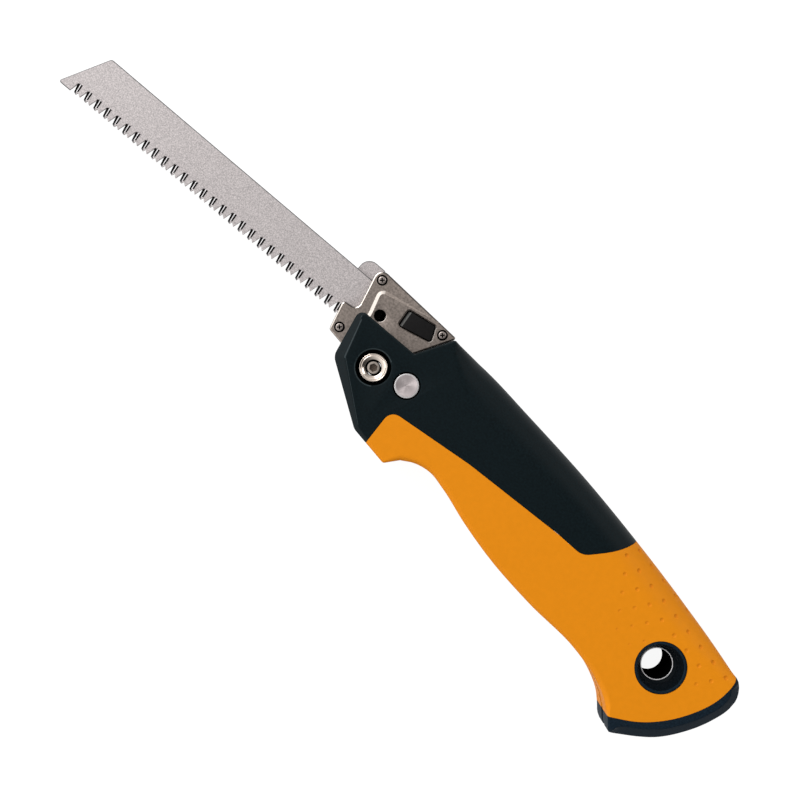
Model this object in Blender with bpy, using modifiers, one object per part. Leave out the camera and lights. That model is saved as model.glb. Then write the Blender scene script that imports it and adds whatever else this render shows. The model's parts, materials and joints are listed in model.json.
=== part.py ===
"""Folding saw with a changeable blade, in metres.

It is drawn about its pivot: +X to the butt, +Y to the back, +Z to the left side.
It is then laid on its right side, with the origin under the middle of its box.
"""

import math

import bmesh
import bpy
from mathutils import Matrix, Vector

for old in list(bpy.data.objects):
    bpy.data.objects.remove(old, do_unlink=True)

# Fits
GAP = 0.0003
FAR = 0.3

# Handle form: outline corners, then rows of x, y, edge width and edge bulge
HANDLE_HALF = 0.0125
EDGE_WALL = 0.0007
EDGE_STEPS = 3
OUTLINE_STEP = 0.0055
CORNER_STEPS = 3
FRONT_CHAMFER = 0.0042
EAR_CHAMFER = 0.0027
JAW_CHAMFER = 0.0018
STOP_EDGE = 0.0011
BELLY_EDGE = 0.0022
BUTT_CHAMFER = 0.0045
SHARP_EDGE = 0.0006
EAR = (-0.0192, 0.0144)
EAR_RADIUS = 0.003
CHIN = (-0.0152, -0.0066)
JAW = (0.0100, -0.0234)
FRONT_RADIUS = 0.0055
FINGER_STOP = (0.0273, -0.0262)
STOP_RADIUS = 0.0014
SHOULDER_TOP = (0.0175, 0.0291)
SHOULDER_RADIUS = 0.0012
SHOULDER_ROOT = (0.0089, 0.0145)
BELLY = [
    (0.0318, -0.0210),
    (0.0370, -0.0182),
    (0.0440, -0.0170),
    (0.0519, -0.0186),
    (0.0670, -0.0234),
    (0.0839, -0.0276),
    (0.1070, -0.0309),
    (0.1329, -0.0329),
    (0.1468, -0.0366),
    (0.1550, -0.0409),
]
HEEL = [
    (0.1600, -0.0452),
    (0.1628, -0.0482),
    (0.1642, -0.0491),
    (0.1658, -0.0487),
]
BUTT = [
    (0.1690, -0.0471),
    (0.1742, -0.0438),
    (0.1803, -0.0391),
    (0.1877, -0.0300),
    (0.1931, -0.0198),
    (0.1956, -0.0110),
    (0.1956, -0.0077),
    (0.1945, -0.0044),
    (0.1932, -0.0024),
]
BACK = [
    (0.1911, -0.0007, 0.0042),
    (0.1867, 0.0007, 0.0055),
    (0.1744, 0.0045, 0.0090),
    (0.1563, 0.0092, 0.0120),
    (0.1260, 0.0158, 0.0130),
    (0.0949, 0.0214, 0.0130),
    (0.0593, 0.0260, 0.0140),
    (0.0359, 0.0286, 0.0140),
    (0.0260, 0.0290, 0.0085),
    (0.0205, 0.0291, 0.0045),
]

# Where the grip and the cap begin
GRIP_LINE = [
    (0.0185, -0.0600, 0.0),
    (0.0162, -0.0083, 0.0045),
    (0.0537, -0.0044, 0.06),
    (0.0985, -0.0026, 0.02),
    (0.1106, -0.0029, 0.007),
    (0.1203, 0.0074, 0.015),
    (0.1440, 0.0465, 0.0),
]
CAP_LINE = [
    (0.1450, -0.0517),
    (0.1595, -0.0445),
    (0.1711, -0.0375),
    (0.1820, -0.0253),
    (0.1887, -0.0097),
    (0.1889, 0.0010),
    (0.1868, 0.0119),
]
GRIP_SKIN = 0.003
BACK_SKIN_SHARE = 0.5
GRIP_SIDE = 0.0033

# Pivot
FOLD = math.radians(173)
BARREL_RADIUS = 0.0040
BOLT_RADIUS = 0.0028
BUSH_WALL = 0.0010
FLANGE_RADIUS = 0.0057
FLANGE_THICK = 0.0023
PIVOT_WELL_RADIUS = 0.0070
PIVOT_WELL_DEPTH = 0.0035
SOCKET_ACROSS = 0.0040
SOCKET_DEPTH = 0.0025
BOLT_SINK = 0.0012
DISH_DEPTH = 0.0008
WASHER_RADIUS = 0.0085
WASHER_THICK = 0.0007
TANG_RADIUS = 0.0103
TANG_STEPS = 18

# Lock button
LOCK_AT = (0.0147, 0.0030)
LOCK_RADIUS = 0.0049
LOCK_PROUD = 0.0003
LOCK_DISH = 0.0008
LOCK_DISH_RADIUS = 0.0038
LOCK_PIN_RADIUS = 0.0032
LOCK_BORE_RADIUS = 0.0024
LOCK_FLOOR = 0.0012
LOCK_TRAVEL = 0.0030
LOCK_SEAT_WALL = 0.0013
LOCK_SEAT_THICK = 0.0008
LOCK_WIRE = 0.00055
LOCK_TURNS = 9

# Holder
HOLDER_HALF = 0.0050
HOLDER_RIM_DROP = 0.0009
HOLDER_CLEAR = 0.0004
HOLDER_TOP_FRONT = (-0.0248, 0.0327)
HOLDER_TOP_RADIUS = 0.0035
HOLDER_FRONT_NOTCH = (-0.0203, 0.0136)
HOLDER_LOBE_TOP = (-0.0271, 0.0128)
HOLDER_LOBE_BOTTOM = (-0.0239, 0.0003)
HOLDER_LOBE_RADIUS = 0.0014
HOLDER_TOP_OVER = 0.0013
HOLDER_TOP_CORNER = 0.0007
HOLDER_NOTCH_RADIUS = 0.0024
HOLDER_BOTTOM = -0.0009
HOLDER_BOTTOM_START = -0.0166
HOLDER_REAR_CLEAR = 0.0005
PAD_FRONT = [(-0.0143, -0.0002), (-0.0151, 0.0151), (-0.0177, 0.0237), (-0.0157, 0.0263), (-0.0073, 0.0283)]
RIM_END = (0.0100, 0.0315)
POCKET_CLEAR = 0.0020
POCKET_WALL = 0.0015
HOLDER_SCREWS = [(-0.0203, 0.0290, 0.0), (-0.0212, 0.0036, 0.0), (0.0124, 0.0278, HOLDER_RIM_DROP)]
HOLDER_SCREW_HEAD = 0.0018
HOLDER_SCREW_RING = 0.0022
HOLDER_SCREW_SHANK = 0.0010
HOLDER_SCREW_HEAD_THICK = 0.0012
HOLDER_SCREW_SINK = 0.0015
HOLDER_SCREW_FLOOR = 0.0017
CROSS_SHARE = 0.61
CROSS_WIDTH = 0.0005
CROSS_DEPTH = 0.0006
VIEW_HOLE = (-0.0117, 0.0175)
VIEW_HOLE_RADIUS = 0.0023

# Release button
WINDOW = [(-0.0046, 0.0269), (-0.0039, 0.0192), (0.0107, 0.0225), (0.0081, 0.0289)]
WINDOW_RADIUS = 0.0011
BUTTON_FLANGE = 0.0005
BUTTON_FLANGE_THICK = 0.0010
BUTTON_BODY = 0.0020
BUTTON_SINK = 0.0001
RELEASE_WIRE = 0.0005
RELEASE_SPRING_RADIUS = 0.0022
RELEASE_TURNS = 4
RELEASE_SEAT_DEPTH = 0.0036

# Blade and thumb tab
BLADE_THICK = 0.00125
BLADE_NOSE = (-0.1728, 0.0056)
BLADE_NOSE_RADIUS = 0.0008
BLADE_TOP_CORNER = (-0.1617, 0.0262)
BLADE_SPINE_END = (-0.0246, 0.0266)
BLADE_NOSE_BOTTOM = (-0.1668, 0.0056)
TOOTH_LINE_START = (-0.1639, 0.0058)
TOOTH_LINE_END = (-0.0262, 0.0068)
TOOTH_PITCH = 0.00508
TOOTH_NOTCH = (0.00055, 0.0014)
TOOTH_SECOND = (0.0020, 0.00015)
TOOTH_GULLET = (0.0032, 0.0042)
TOOTH_HEEL = (0.0040, 0.00045)
TANG_START = -0.0252
TANG_BOTTOM = 0.0082
TANG_END_TOP = -0.0136
TANG_END_BOTTOM = -0.0099
BLADE_SLIDE = 0.015
SLOT_CLEAR = 0.0008
SLOT_SIDE = 0.0009
TAB_THICK = 0.0016
TAB_FRONT = -0.0314
TAB_REAR = -0.0150
TAB_TOP = 0.0330
TAB_BOTTOM = 0.0245
TAB_RADIUS = 0.0045
TAB_STEP = (-0.0205, 0.0310)
TAB_SLANT = 0.0017
TAB_CORNER = 0.0010

# Hang hole
HANG_AT = (0.1629, -0.0164)
HANG_BORE_RADIUS = 0.0062
HANG_SLEEVE_WALL = 0.0004
HANG_SLEEVE_TOP = 0.0052
HANG_LINER_WALL = 0.0005
HANG_BODY_RADIUS = 0.0090
HANG_BODY_LOW = 0.0030
HANG_FLANGE_RADIUS = 0.0104
HANG_FLANGE_THICK = 0.0028
HANG_SINK = 0.0002
HANG_LIP = 0.0007
HANG_STEP_RADIUS = 0.0078
HANG_MOUTH_RADIUS = 0.0092

# Shell screws
SHELL_SCREWS = [(0.0330, 0.0060), (0.0720, 0.0070), (0.1030, 0.0030)]
SHELL_SCREW_SINK = 0.0030
SHELL_SCREW_HEAD = 0.0029
SHELL_SCREW_HEAD_THICK = 0.0021
SHELL_SCREW_SHANK = 0.0016
SHELL_SCREW_REACH = 0.0070

# Levels worked out from the sizes above
EAR_INSIDE = HOLDER_HALF + HOLDER_CLEAR
PIVOT_FLOOR = HANDLE_HALF - PIVOT_WELL_DEPTH
WASHER_LOW = HOLDER_HALF + GAP
WASHER_ROOM = WASHER_LOW + WASHER_THICK + GAP
BUSH_RADIUS = BARREL_RADIUS + GAP + BUSH_WALL
LOCK_WELL_FLOOR = EAR_INSIDE + LOCK_FLOOR
LOCK_HEAD_LOW = LOCK_WELL_FLOOR + LOCK_TRAVEL + GAP
LOCK_PIN_END = -EAR_INSIDE - GAP
LOCK_BORE_TOP = EAR_INSIDE
LOCK_SEAT_FLOOR = -HANDLE_HALF + LOCK_SEAT_WALL
HOLDER_RIM = HOLDER_HALF - HOLDER_RIM_DROP
TANG_ROOM = BLADE_THICK / 2 + GAP
BUTTON_TOP = HOLDER_HALF - BUTTON_SINK
BUTTON_FLANGE_TOP = BUTTON_TOP - BUTTON_BODY
BUTTON_FLANGE_LOW = BUTTON_FLANGE_TOP - BUTTON_FLANGE_THICK
RELEASE_SEAT = -RELEASE_SEAT_DEPTH
TAB_HIGH = -TANG_ROOM
TAB_LOW = TAB_HIGH - TAB_THICK
CORE_TOP = HANDLE_HALF - GRIP_SIDE
SLEEVE_RADIUS = HANG_BORE_RADIUS + HANG_SLEEVE_WALL
LINER_RADIUS = SLEEVE_RADIUS + GAP + HANG_LINER_WALL
SLOT_HALF = BLADE_THICK / 2 + SLOT_SIDE

saw_parts = bpy.data.collections.new("folding_saw")
cutters = bpy.data.collections.new("cutters")
cutters.hide_render = True
for group in (saw_parts, cutters):
    bpy.context.scene.collection.children.link(group)


def make_material(name, colour, roughness, metallic=0.0):
    material = bpy.data.materials.new(name)
    material.use_nodes = True
    shader = material.node_tree.nodes["Principled BSDF"]
    shader.inputs["Base Color"].default_value = (*colour, 1.0)
    shader.inputs["Roughness"].default_value = roughness
    shader.inputs["Metallic"].default_value = metallic
    return material


BLACK_NYLON = make_material("black_nylon", (0.013, 0.019, 0.024), 0.5)
ORANGE_GRIP = make_material("orange_grip", (0.78, 0.26, 0.007), 0.5)
BLASTED_STEEL = make_material("blasted_steel", (0.56, 0.53, 0.52), 0.45, 0.8)
NICKEL_CASTING = make_material("nickel_casting", (0.25, 0.21, 0.18), 0.35, 0.9)
POLISHED_STEEL = make_material("polished_steel", (0.70, 0.62, 0.54), 0.15, 1.0)
TURNED_STEEL = make_material("turned_steel", (0.50, 0.45, 0.46), 0.3, 0.9)
SCREW_STEEL = make_material("screw_steel", (0.35, 0.30, 0.28), 0.3, 1.0)
SPRING_STEEL = make_material("spring_steel", (0.45, 0.45, 0.46), 0.3, 1.0)
WASHER_NYLON = make_material("washer_nylon", (0.55, 0.53, 0.48), 0.5)
BUSH_BRONZE = make_material("bush_bronze", (0.42, 0.24, 0.09), 0.35, 1.0)


def make_empty(name, location, parent=None):
    empty = bpy.data.objects.new(name, None)
    empty.location = location
    saw_parts.objects.link(empty)
    bpy.context.view_layer.update()
    hold(empty, parent)
    return empty


def hold(child, parent):
    """Parents an object and leaves it where it is."""
    if parent is None:
        return
    child.parent = parent
    child.matrix_parent_inverse = parent.matrix_world.inverted()
    bpy.context.view_layer.update()


def make_object(name, mesh):
    made = bpy.data.objects.new(name, mesh)
    cutters.objects.link(made)
    hold(made, handle)
    made.hide_render = True
    made.display_type = "WIRE"
    return made


def finish(made, material, parent):
    """Turns a shape into a sub-part that rides on a parent."""
    cutters.objects.unlink(made)
    saw_parts.objects.link(made)
    made.hide_render = False
    made.display_type = "TEXTURED"
    made.data.materials.clear()
    made.data.materials.append(material)
    made.data.shade_smooth()
    made.data.set_sharp_from_angle(angle=math.radians(35))
    hold(made, parent)
    return made


def change(made, operation, others):
    for other in others:
        modifier = made.modifiers.new(other.name, "BOOLEAN")
        modifier.operation = operation
        modifier.object = other
    return made


def join(made, *others):
    return change(made, "UNION", others)


def cut(made, *others):
    return change(made, "DIFFERENCE", others)


def keep(made, *others):
    return change(made, "INTERSECT", others)


def spline(rows, step):
    """Rows along a smooth curve through the given rows, about one step apart."""
    rows = [Vector(row) for row in rows]
    spans = [(after.xy - before.xy).length for before, after in zip(rows, rows[1:])]
    slopes = [(after - before) / span for before, after, span in zip(rows, rows[1:], spans)]
    tangents = [slopes[0]]
    for first, second, near, far in zip(slopes, slopes[1:], spans, spans[1:]):
        tangents.append((first * far + second * near) / (near + far))
    tangents.append(slopes[-1])
    smooth = []
    for index, span in enumerate(spans):
        count = max(1, round(span / step))
        for part in range(count):
            t = part / count
            start = rows[index] * (2 * t**3 - 3 * t**2 + 1)
            leave = tangents[index] * (span * (t**3 - 2 * t**2 + t))
            end = rows[index + 1] * (3 * t**2 - 2 * t**3)
            arrive = tangents[index + 1] * (span * (t**3 - t**2))
            smooth.append(start + leave + end + arrive)
    smooth.append(rows[-1])
    return smooth


def fillet(before, corner, after, radius):
    """Points of the arc that rounds a corner."""
    corner = Vector(corner)
    towards_before = (Vector(before) - corner).normalized()
    towards_after = (Vector(after) - corner).normalized()
    half = towards_before.angle(towards_after) / 2
    reach = radius / math.tan(half)
    centre = corner + (towards_before + towards_after).normalized() * (radius / math.sin(half))
    start = corner + towards_before * reach - centre
    end = corner + towards_after * reach - centre
    turn = math.pi - 2 * half
    arc = []
    for part in range(CORNER_STEPS + 1):
        t = part / CORNER_STEPS
        spoke = start * math.sin((1 - t) * turn) + end * math.sin(t * turn)
        arc.append(centre + spoke / math.sin(turn))
    return arc


def rounded(corners):
    """Closed outline from rows of x, y and corner radius."""
    outline = []
    for index, (x, y, radius) in enumerate(corners):
        before = corners[index - 1][:2]
        after = corners[(index + 1) % len(corners)][:2]
        if radius:
            outline.extend(fillet(before, (x, y), after, radius))
        else:
            outline.append(Vector((x, y)))
    return outline


def inward_normals(points):
    """Unit normals to the left of each point of a closed outline."""
    normals = []
    for index, point in enumerate(points):
        after = points[(index + 1) % len(points)]
        tangent = (after.xy - points[index - 1].xy).normalized()
        normals.append(Vector((-tangent.y, tangent.x)))
    return normals


def offset(points, distance):
    """A closed anticlockwise outline grown by a distance."""
    return [point.xy - normal * distance for point, normal in zip(points, inward_normals(points))]


def turned_about_pivot(point, angle):
    return Matrix.Rotation(angle, 2) @ Vector(point)


def mesh_from(source):
    """Object with the evaluated, welded mesh of a curve object, which is removed."""
    bpy.context.view_layer.update()
    evaluated = source.evaluated_get(bpy.context.evaluated_depsgraph_get())
    mesh = bpy.data.meshes.new_from_object(evaluated)
    mesh.transform(source.matrix_world)
    shape = bmesh.new()
    shape.from_mesh(mesh)
    bmesh.ops.remove_doubles(shape, verts=shape.verts, dist=1e-7)
    bmesh.ops.recalc_face_normals(shape, faces=shape.faces)
    shape.to_mesh(mesh)
    shape.free()
    name = source.name
    bpy.data.objects.remove(source, do_unlink=True)
    return make_object(name, mesh)


def prism(name, outline, low, high):
    """Upright solid with a flat anticlockwise outline."""
    shape = bmesh.new()
    floor = [shape.verts.new((point[0], point[1], low)) for point in outline]
    roof = [shape.verts.new((point[0], point[1], high)) for point in outline]
    shape.faces.new(floor[::-1])
    shape.faces.new(roof)
    for index in range(len(outline)):
        after = (index + 1) % len(outline)
        shape.faces.new((floor[index], floor[after], roof[after], roof[index]))
    mesh = bpy.data.meshes.new(name)
    shape.to_mesh(mesh)
    shape.free()
    return make_object(name, mesh)


def cylinder(name, radius, low, high, at=(0, 0), sides=32):
    shape = bmesh.new()
    middle = Matrix.Translation((at[0], at[1], (low + high) / 2))
    bmesh.ops.create_cone(
        shape,
        cap_ends=True,
        segments=sides,
        radius1=radius,
        radius2=radius,
        depth=high - low,
        matrix=middle,
    )
    mesh = bpy.data.meshes.new(name)
    shape.to_mesh(mesh)
    shape.free()
    return make_object(name, mesh)


def turned(name, profile, at=(0, 0), closed=True, sides=32):
    """Turned solid: rows of radius and height, down the outer side first."""
    mesh = bpy.data.meshes.new(name)
    links = [(index, index + 1) for index in range(len(profile) - 1)]
    if closed:
        links.append((len(profile) - 1, 0))
    mesh.from_pydata([(radius, 0, height) for radius, height in profile], links, [])
    made = make_object(name, mesh)
    made.location = (at[0], at[1], 0)
    screw = made.modifiers.new("turn", "SCREW")
    screw.steps = sides
    screw.render_steps = sides
    screw.use_merge_vertices = True
    screw.merge_threshold = 1e-6
    return made


def helix(name, at, radius, low, high, wire, turns):
    """Coil spring of round wire, with one straight wire diameter at each end."""
    points_a_turn = 9
    foot = low + wire / 2
    head = high - wire / 2
    count = turns * points_a_turn
    path = []
    for index in range(count + 1):
        angle = 2 * math.pi * index / points_a_turn
        height = foot + (head - foot) * index / count
        path.append(Vector((radius * math.cos(angle), radius * math.sin(angle), height)))
    path.insert(0, path[0] + Vector((0, -wire, 0)))
    path.append(path[-1] + Vector((0, wire, 0)))
    curve = bpy.data.curves.new(name, "CURVE")
    curve.dimensions = "3D"
    curve.bevel_depth = wire / 2
    curve.bevel_resolution = 1
    curve.use_fill_caps = True
    line = curve.splines.new("POLY")
    line.points.add(len(path) - 1)
    for control, point in zip(line.points, path):
        control.co = (*point, 1)
    source = bpy.data.objects.new(name, curve)
    source.location = (at[0], at[1], 0)
    bpy.context.scene.collection.objects.link(source)
    least = min((a - b).length for i, a in enumerate(path) for b in path[i + 6 :]) - wire
    print(f"{name}: least gap to itself {least * 1000:.2f} mm")
    return mesh_from(source)


def smooth_side():
    """Rows of x, y, edge width and bulge along the belly, the butt and the back."""
    rows = [(x, y, BELLY_EDGE, 1.0) for x, y in BELLY]
    rows += [(x, y, SHARP_EDGE, 0.0) for x, y in HEEL]
    rows += [(x, y, BUTT_CHAMFER, 0.0) for x, y in BUTT]
    rows += [(x, y, edge, 1.0) for x, y, edge in BACK]
    return spline(rows, OUTLINE_STEP)


def handle_rows():
    """Rows of x, y, edge width and bulge all round the handle, anticlockwise."""
    rows = []
    ear = fillet(SHOULDER_ROOT, EAR, CHIN, EAR_RADIUS)
    for part, point in enumerate(ear):
        edge = SHARP_EDGE + (EAR_CHAMFER - SHARP_EDGE) * part / CORNER_STEPS
        rows.append(Vector((*point, edge, 0.0)))
    for before, corner, after, edge in ((EAR, CHIN, JAW, FRONT_CHAMFER), (CHIN, JAW, FINGER_STOP, JAW_CHAMFER)):
        for point in fillet(before, corner, after, FRONT_RADIUS):
            rows.append(Vector((*point, edge, 0.0)))
    for point in fillet(JAW, FINGER_STOP, BELLY[0], STOP_RADIUS):
        rows.append(Vector((*point, STOP_EDGE, 1.0)))
    rows += smooth_side()
    for point in fillet(BACK[-1][:2], SHOULDER_TOP, SHOULDER_ROOT, SHOULDER_RADIUS):
        rows.append(Vector((*point, SHARP_EDGE, 0.0)))
    rows.append(Vector((*SHOULDER_ROOT, SHARP_EDGE, 0.0)))
    return rows


def edge_point(row, normal, t):
    """Point on the rounded or chamfered edge: t runs from the side wall to the flat face."""
    width = row[2]
    drop = min(width, HANDLE_HALF - EDGE_WALL)
    bulge = row[3]
    turn = t * math.pi / 2
    inset = width * (bulge * (1 - math.cos(turn)) + (1 - bulge) * t)
    rise = drop * (bulge * math.sin(turn) + (1 - bulge) * t)
    place = row.xy + normal * inset
    return Vector((place.x, place.y, HANDLE_HALF - drop + rise))


def handle_form():
    """Mesh of the whole handle, lofted from its side outline to its two flat faces."""
    rows = handle_rows()
    normals = inward_normals(rows)
    shape = bmesh.new()
    rings = []
    for side in (1, -1):
        steps = range(EDGE_STEPS, -1, -1) if side > 0 else range(EDGE_STEPS + 1)
        for step in steps:
            ring = []
            for row, normal in zip(rows, normals):
                point = edge_point(row, normal, step / EDGE_STEPS)
                point.z *= side
                ring.append(shape.verts.new(point))
            rings.append(ring)
    for upper, lower in zip(rings, rings[1:]):
        for index in range(len(rows)):
            after = (index + 1) % len(rows)
            shape.faces.new((upper[index], lower[index], lower[after], upper[after]))
    shape.faces.new(rings[0])
    shape.faces.new(list(reversed(rings[-1])))
    mesh = bpy.data.meshes.new("handle_form")
    shape.to_mesh(mesh)
    shape.free()
    return mesh


def core_outline():
    """Outline of the shell's tongue under the grip, a skin's width inside belly, cap and back."""
    belly = [(x, y, 0.0) for x, y in BELLY]
    cap = [(x, y, 0.0) for x, y in CAP_LINE[1:-1]]
    inside = []
    for rows in (belly, cap, BACK):
        stretch = spline(rows, OUTLINE_STEP)
        for before, row, after in zip(stretch, stretch[1:], stretch[2:]):
            tangent = (after.xy - before.xy).normalized()
            normal = Vector((-tangent.y, tangent.x))
            inside.append(row.xy + normal * (GRIP_SKIN + BACK_SKIN_SHARE * row[2]))
    return inside


def grip_zone(grow):
    """Outline of all that lies on the grip's side of its line."""
    start = GRIP_LINE[0]
    end = GRIP_LINE[-1]
    around = [(start[0], -FAR, 0.0), (FAR, -FAR, 0.0), (FAR, end[1], 0.0)]
    return offset(rounded(around + GRIP_LINE[::-1]), grow)


def cap_zone(grow):
    """Outline of all that lies on the cap's side of its line."""
    start = CAP_LINE[0]
    end = CAP_LINE[-1]
    around = [Vector((start[0], -FAR)), Vector((FAR, -FAR)), Vector((FAR, end[1]))]
    return offset(around + spline(CAP_LINE, OUTLINE_STEP)[::-1], grow)


def holder_rear():
    """Root and top of the holder's rear edge, which faces the shell's shoulder."""
    top = Vector(SHOULDER_TOP)
    root = Vector(SHOULDER_ROOT)
    along = (top - root).normalized()
    away = Vector((-along.y, along.x)) * HOLDER_REAR_CLEAR
    return root + away, top + away + along * HOLDER_TOP_OVER


def holder_outline():
    """Outline of a holder plate: from its lobe round the pivot to the rear edge and the top."""
    root, top = holder_rear()
    hidden = root - Vector((HOLDER_REAR_CLEAR, HOLDER_REAR_CLEAR))
    start = math.pi - math.asin(HOLDER_BOTTOM / TANG_RADIUS)
    end = 2 * math.pi + math.acos(hidden.x / TANG_RADIUS)
    arc = []
    for part in range(TANG_STEPS + 1):
        angle = start + (end - start) * part / TANG_STEPS
        arc.append((TANG_RADIUS * math.cos(angle), TANG_RADIUS * math.sin(angle), 0.0))
    corners = [
        (*HOLDER_LOBE_BOTTOM, HOLDER_LOBE_RADIUS),
        (HOLDER_BOTTOM_START, HOLDER_BOTTOM, HOLDER_TOP_RADIUS),
        *arc,
        (*hidden, 0.0),
        (*root, 0.0),
        (*top, HOLDER_TOP_CORNER),
        (*HOLDER_TOP_FRONT, HOLDER_TOP_RADIUS),
        (*HOLDER_FRONT_NOTCH, HOLDER_NOTCH_RADIUS),
        (*HOLDER_LOBE_TOP, HOLDER_LOBE_RADIUS),
    ]
    return rounded(corners)


def rim_outline():
    """Outline of the holder's lower strip in front of the raised pad and above it."""
    around = [(RIM_END[0], FAR), (-FAR, FAR), (-FAR, -FAR), (PAD_FRONT[0][0], -FAR)]
    return around + PAD_FRONT + [RIM_END]


def pocket_outline():
    """Outline of the deep pocket between the ears, which the holder folds into."""
    folded = [turned_about_pivot(point, FOLD) for point in holder_outline()]
    right = max(point.x for point in folded) + POCKET_CLEAR
    top = LOCK_AT[1] + LOCK_PIN_RADIUS + POCKET_WALL
    root = Vector(SHOULDER_ROOT) - Vector((GAP, GAP))
    edge = [(right, -FAR), (right, top), (TANG_RADIUS + POCKET_WALL, top), tuple(root), (root.x, FAR)]
    return [(-FAR, -FAR)] + edge + [(-FAR, FAR)]


def slot_outline():
    """Outline of the blade's slot: the folded blade's room, open at the belly."""
    low = min(BLADE_NOSE_BOTTOM[1], TOOTH_LINE_START[1]) - SLOT_CLEAR
    slant = (BLADE_TOP_CORNER[0] - BLADE_NOSE[0]) / (BLADE_TOP_CORNER[1] - BLADE_NOSE[1])
    nose = BLADE_NOSE[0] - BLADE_SLIDE - SLOT_CLEAR
    end_low = nose + slant * (low - BLADE_NOSE[1])
    end_high = nose + slant * (FAR - BLADE_NOSE[1])
    corners = [(end_low, low), (0, low), (0, FAR), (end_high, FAR)]
    return [turned_about_pivot(corner, FOLD) for corner in corners]


def tooth_points():
    """Points of the toothed edge, from the first gullet to the last tooth."""
    start = Vector(TOOTH_LINE_START)
    line = Vector(TOOTH_LINE_END) - start
    along = line.normalized()
    across = Vector((-along.y, along.x))
    pair = [(0.0, 0.0), TOOTH_NOTCH, TOOTH_SECOND, TOOTH_GULLET, TOOTH_HEEL]
    steps = [(run - TOOTH_PITCH, rise) for run, rise in pair[3:]]
    count = int(line.length / TOOTH_PITCH)
    for number in range(count):
        steps += [(run + number * TOOTH_PITCH, rise) for run, rise in pair]
    steps += [(run + count * TOOTH_PITCH, rise) for run, rise in pair[:2]]
    return [start + along * run + across * rise for run, rise in steps]


def blade_outline():
    nose = fillet(BLADE_TOP_CORNER, BLADE_NOSE, BLADE_NOSE_BOTTOM, BLADE_NOSE_RADIUS)
    corner = fillet(BLADE_SPINE_END, BLADE_TOP_CORNER, BLADE_NOSE, BLADE_NOSE_RADIUS)
    tang = [(TANG_START, TANG_BOTTOM), (TANG_END_BOTTOM, TANG_BOTTOM), (TANG_END_TOP, BLADE_SPINE_END[1])]
    return nose + [BLADE_NOSE_BOTTOM] + tooth_points() + tang + [BLADE_SPINE_END] + corner


def tang_room_outline():
    front = 2 * HOLDER_LOBE_TOP[0]
    low = TANG_BOTTOM - GAP
    high = BLADE_SPINE_END[1] + GAP
    return [(front, low), (TANG_END_BOTTOM + GAP, low), (TANG_END_TOP + GAP, high), (front, high)]


def tab_outline():
    corners = [
        (TAB_FRONT, TAB_BOTTOM, TAB_CORNER),
        (TAB_REAR, TAB_BOTTOM, TAB_CORNER),
        (TAB_REAR, TAB_STEP[1], TAB_CORNER),
        (*TAB_STEP, 0.0),
        (TAB_STEP[0] - TAB_SLANT, TAB_TOP, TAB_CORNER),
        (TAB_FRONT, TAB_TOP, TAB_RADIUS),
    ]
    return rounded(corners)


def window_outline(grow):
    return offset(rounded([(x, y, WINDOW_RADIUS) for x, y in WINDOW]), grow)


def middle_of(points):
    return sum((Vector(point) for point in points), Vector((0, 0))) / len(points)


def levels(side, near, far):
    """Lowest and highest level of something that lies between two distances on one side."""
    return sorted((side * near, side * far))


def ring(name, inner, outer, low, high, at=(0, 0)):
    return turned(name, [(outer, high), (outer, low), (inner, low), (inner, high)], at)


def slab(name, low, high):
    return prism(name, [(-FAR, -FAR), (FAR, -FAR), (FAR, FAR), (-FAR, FAR)], low, high)


# Bodies: the handle is the root, and each moving body has an empty on its axis
handle = make_empty("handle", (0, 0, 0))
blade_holder = make_empty("blade_holder", (0, 0, 0), handle)
blade = make_empty("blade", (*BLADE_SPINE_END, 0), blade_holder)
lock_press = make_empty("lock_press", (*LOCK_AT, 0), handle)
release_press = make_empty("release_press", (*middle_of(WINDOW), 0), blade_holder)

# Rooms that more than one piece is cut by
head_pocket = prism("head_pocket", pocket_outline(), -EAR_INSIDE, EAR_INSIDE)
blade_slot = prism("blade_slot", slot_outline(), -SLOT_HALF, SLOT_HALF)
hang_bore = cylinder("hang_bore", LINER_RADIUS + GAP, -FAR, FAR, HANG_AT)
grip_side = prism("grip_side", grip_zone(-GAP / 2), -FAR, FAR)
shell_limit = prism("shell_limit", grip_zone(GAP / 2), -FAR, FAR)
cap_side = prism("cap_side", cap_zone(-GAP / 2), -FAR, FAR)
grip_limit = prism("grip_limit", cap_zone(GAP / 2), -FAR, FAR)
tongue = prism("tongue", core_outline(), -CORE_TOP, CORE_TOP)
tongue_room = prism("tongue_room", offset(core_outline(), GAP), -CORE_TOP - GAP, CORE_TOP + GAP)
pivot_bore = cylinder("pivot_bore", BARREL_RADIUS + GAP, -FAR, FAR)
washer_room = cylinder("washer_room", WASHER_RADIUS + GAP, -WASHER_ROOM, WASHER_ROOM)
lock_well = cylinder("lock_well", LOCK_RADIUS + GAP, LOCK_WELL_FLOOR, FAR, LOCK_AT)
lock_bore = cylinder("lock_bore", LOCK_PIN_RADIUS + GAP, LOCK_SEAT_FLOOR, LOCK_WELL_FLOOR + GAP, LOCK_AT)
handle_mesh = handle_form()


def side_rooms(side, name):
    """Cutters of one half: its half of space, the pivot well and the hang hole's liner."""
    rooms = {"half": slab(f"{name}_half", *levels(side, GAP / 2, FAR))}
    rooms["well"] = cylinder(f"{name}_well", PIVOT_WELL_RADIUS, *levels(side, PIVOT_FLOOR, FAR))
    flange_floor = HANDLE_HALF - HANG_SINK - HANG_FLANGE_THICK - GAP
    rooms["flange"] = cylinder(
        f"{name}_flange_room", HANG_FLANGE_RADIUS + GAP, *levels(side, flange_floor, FAR), HANG_AT
    )
    rooms["body"] = cylinder(
        f"{name}_liner_room", HANG_BODY_RADIUS + GAP, *levels(side, HANG_BODY_LOW - GAP, FAR), HANG_AT
    )
    return rooms


rooms_of = {side: side_rooms(side, name) for side, name in ((1, "left"), (-1, "right"))}


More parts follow.
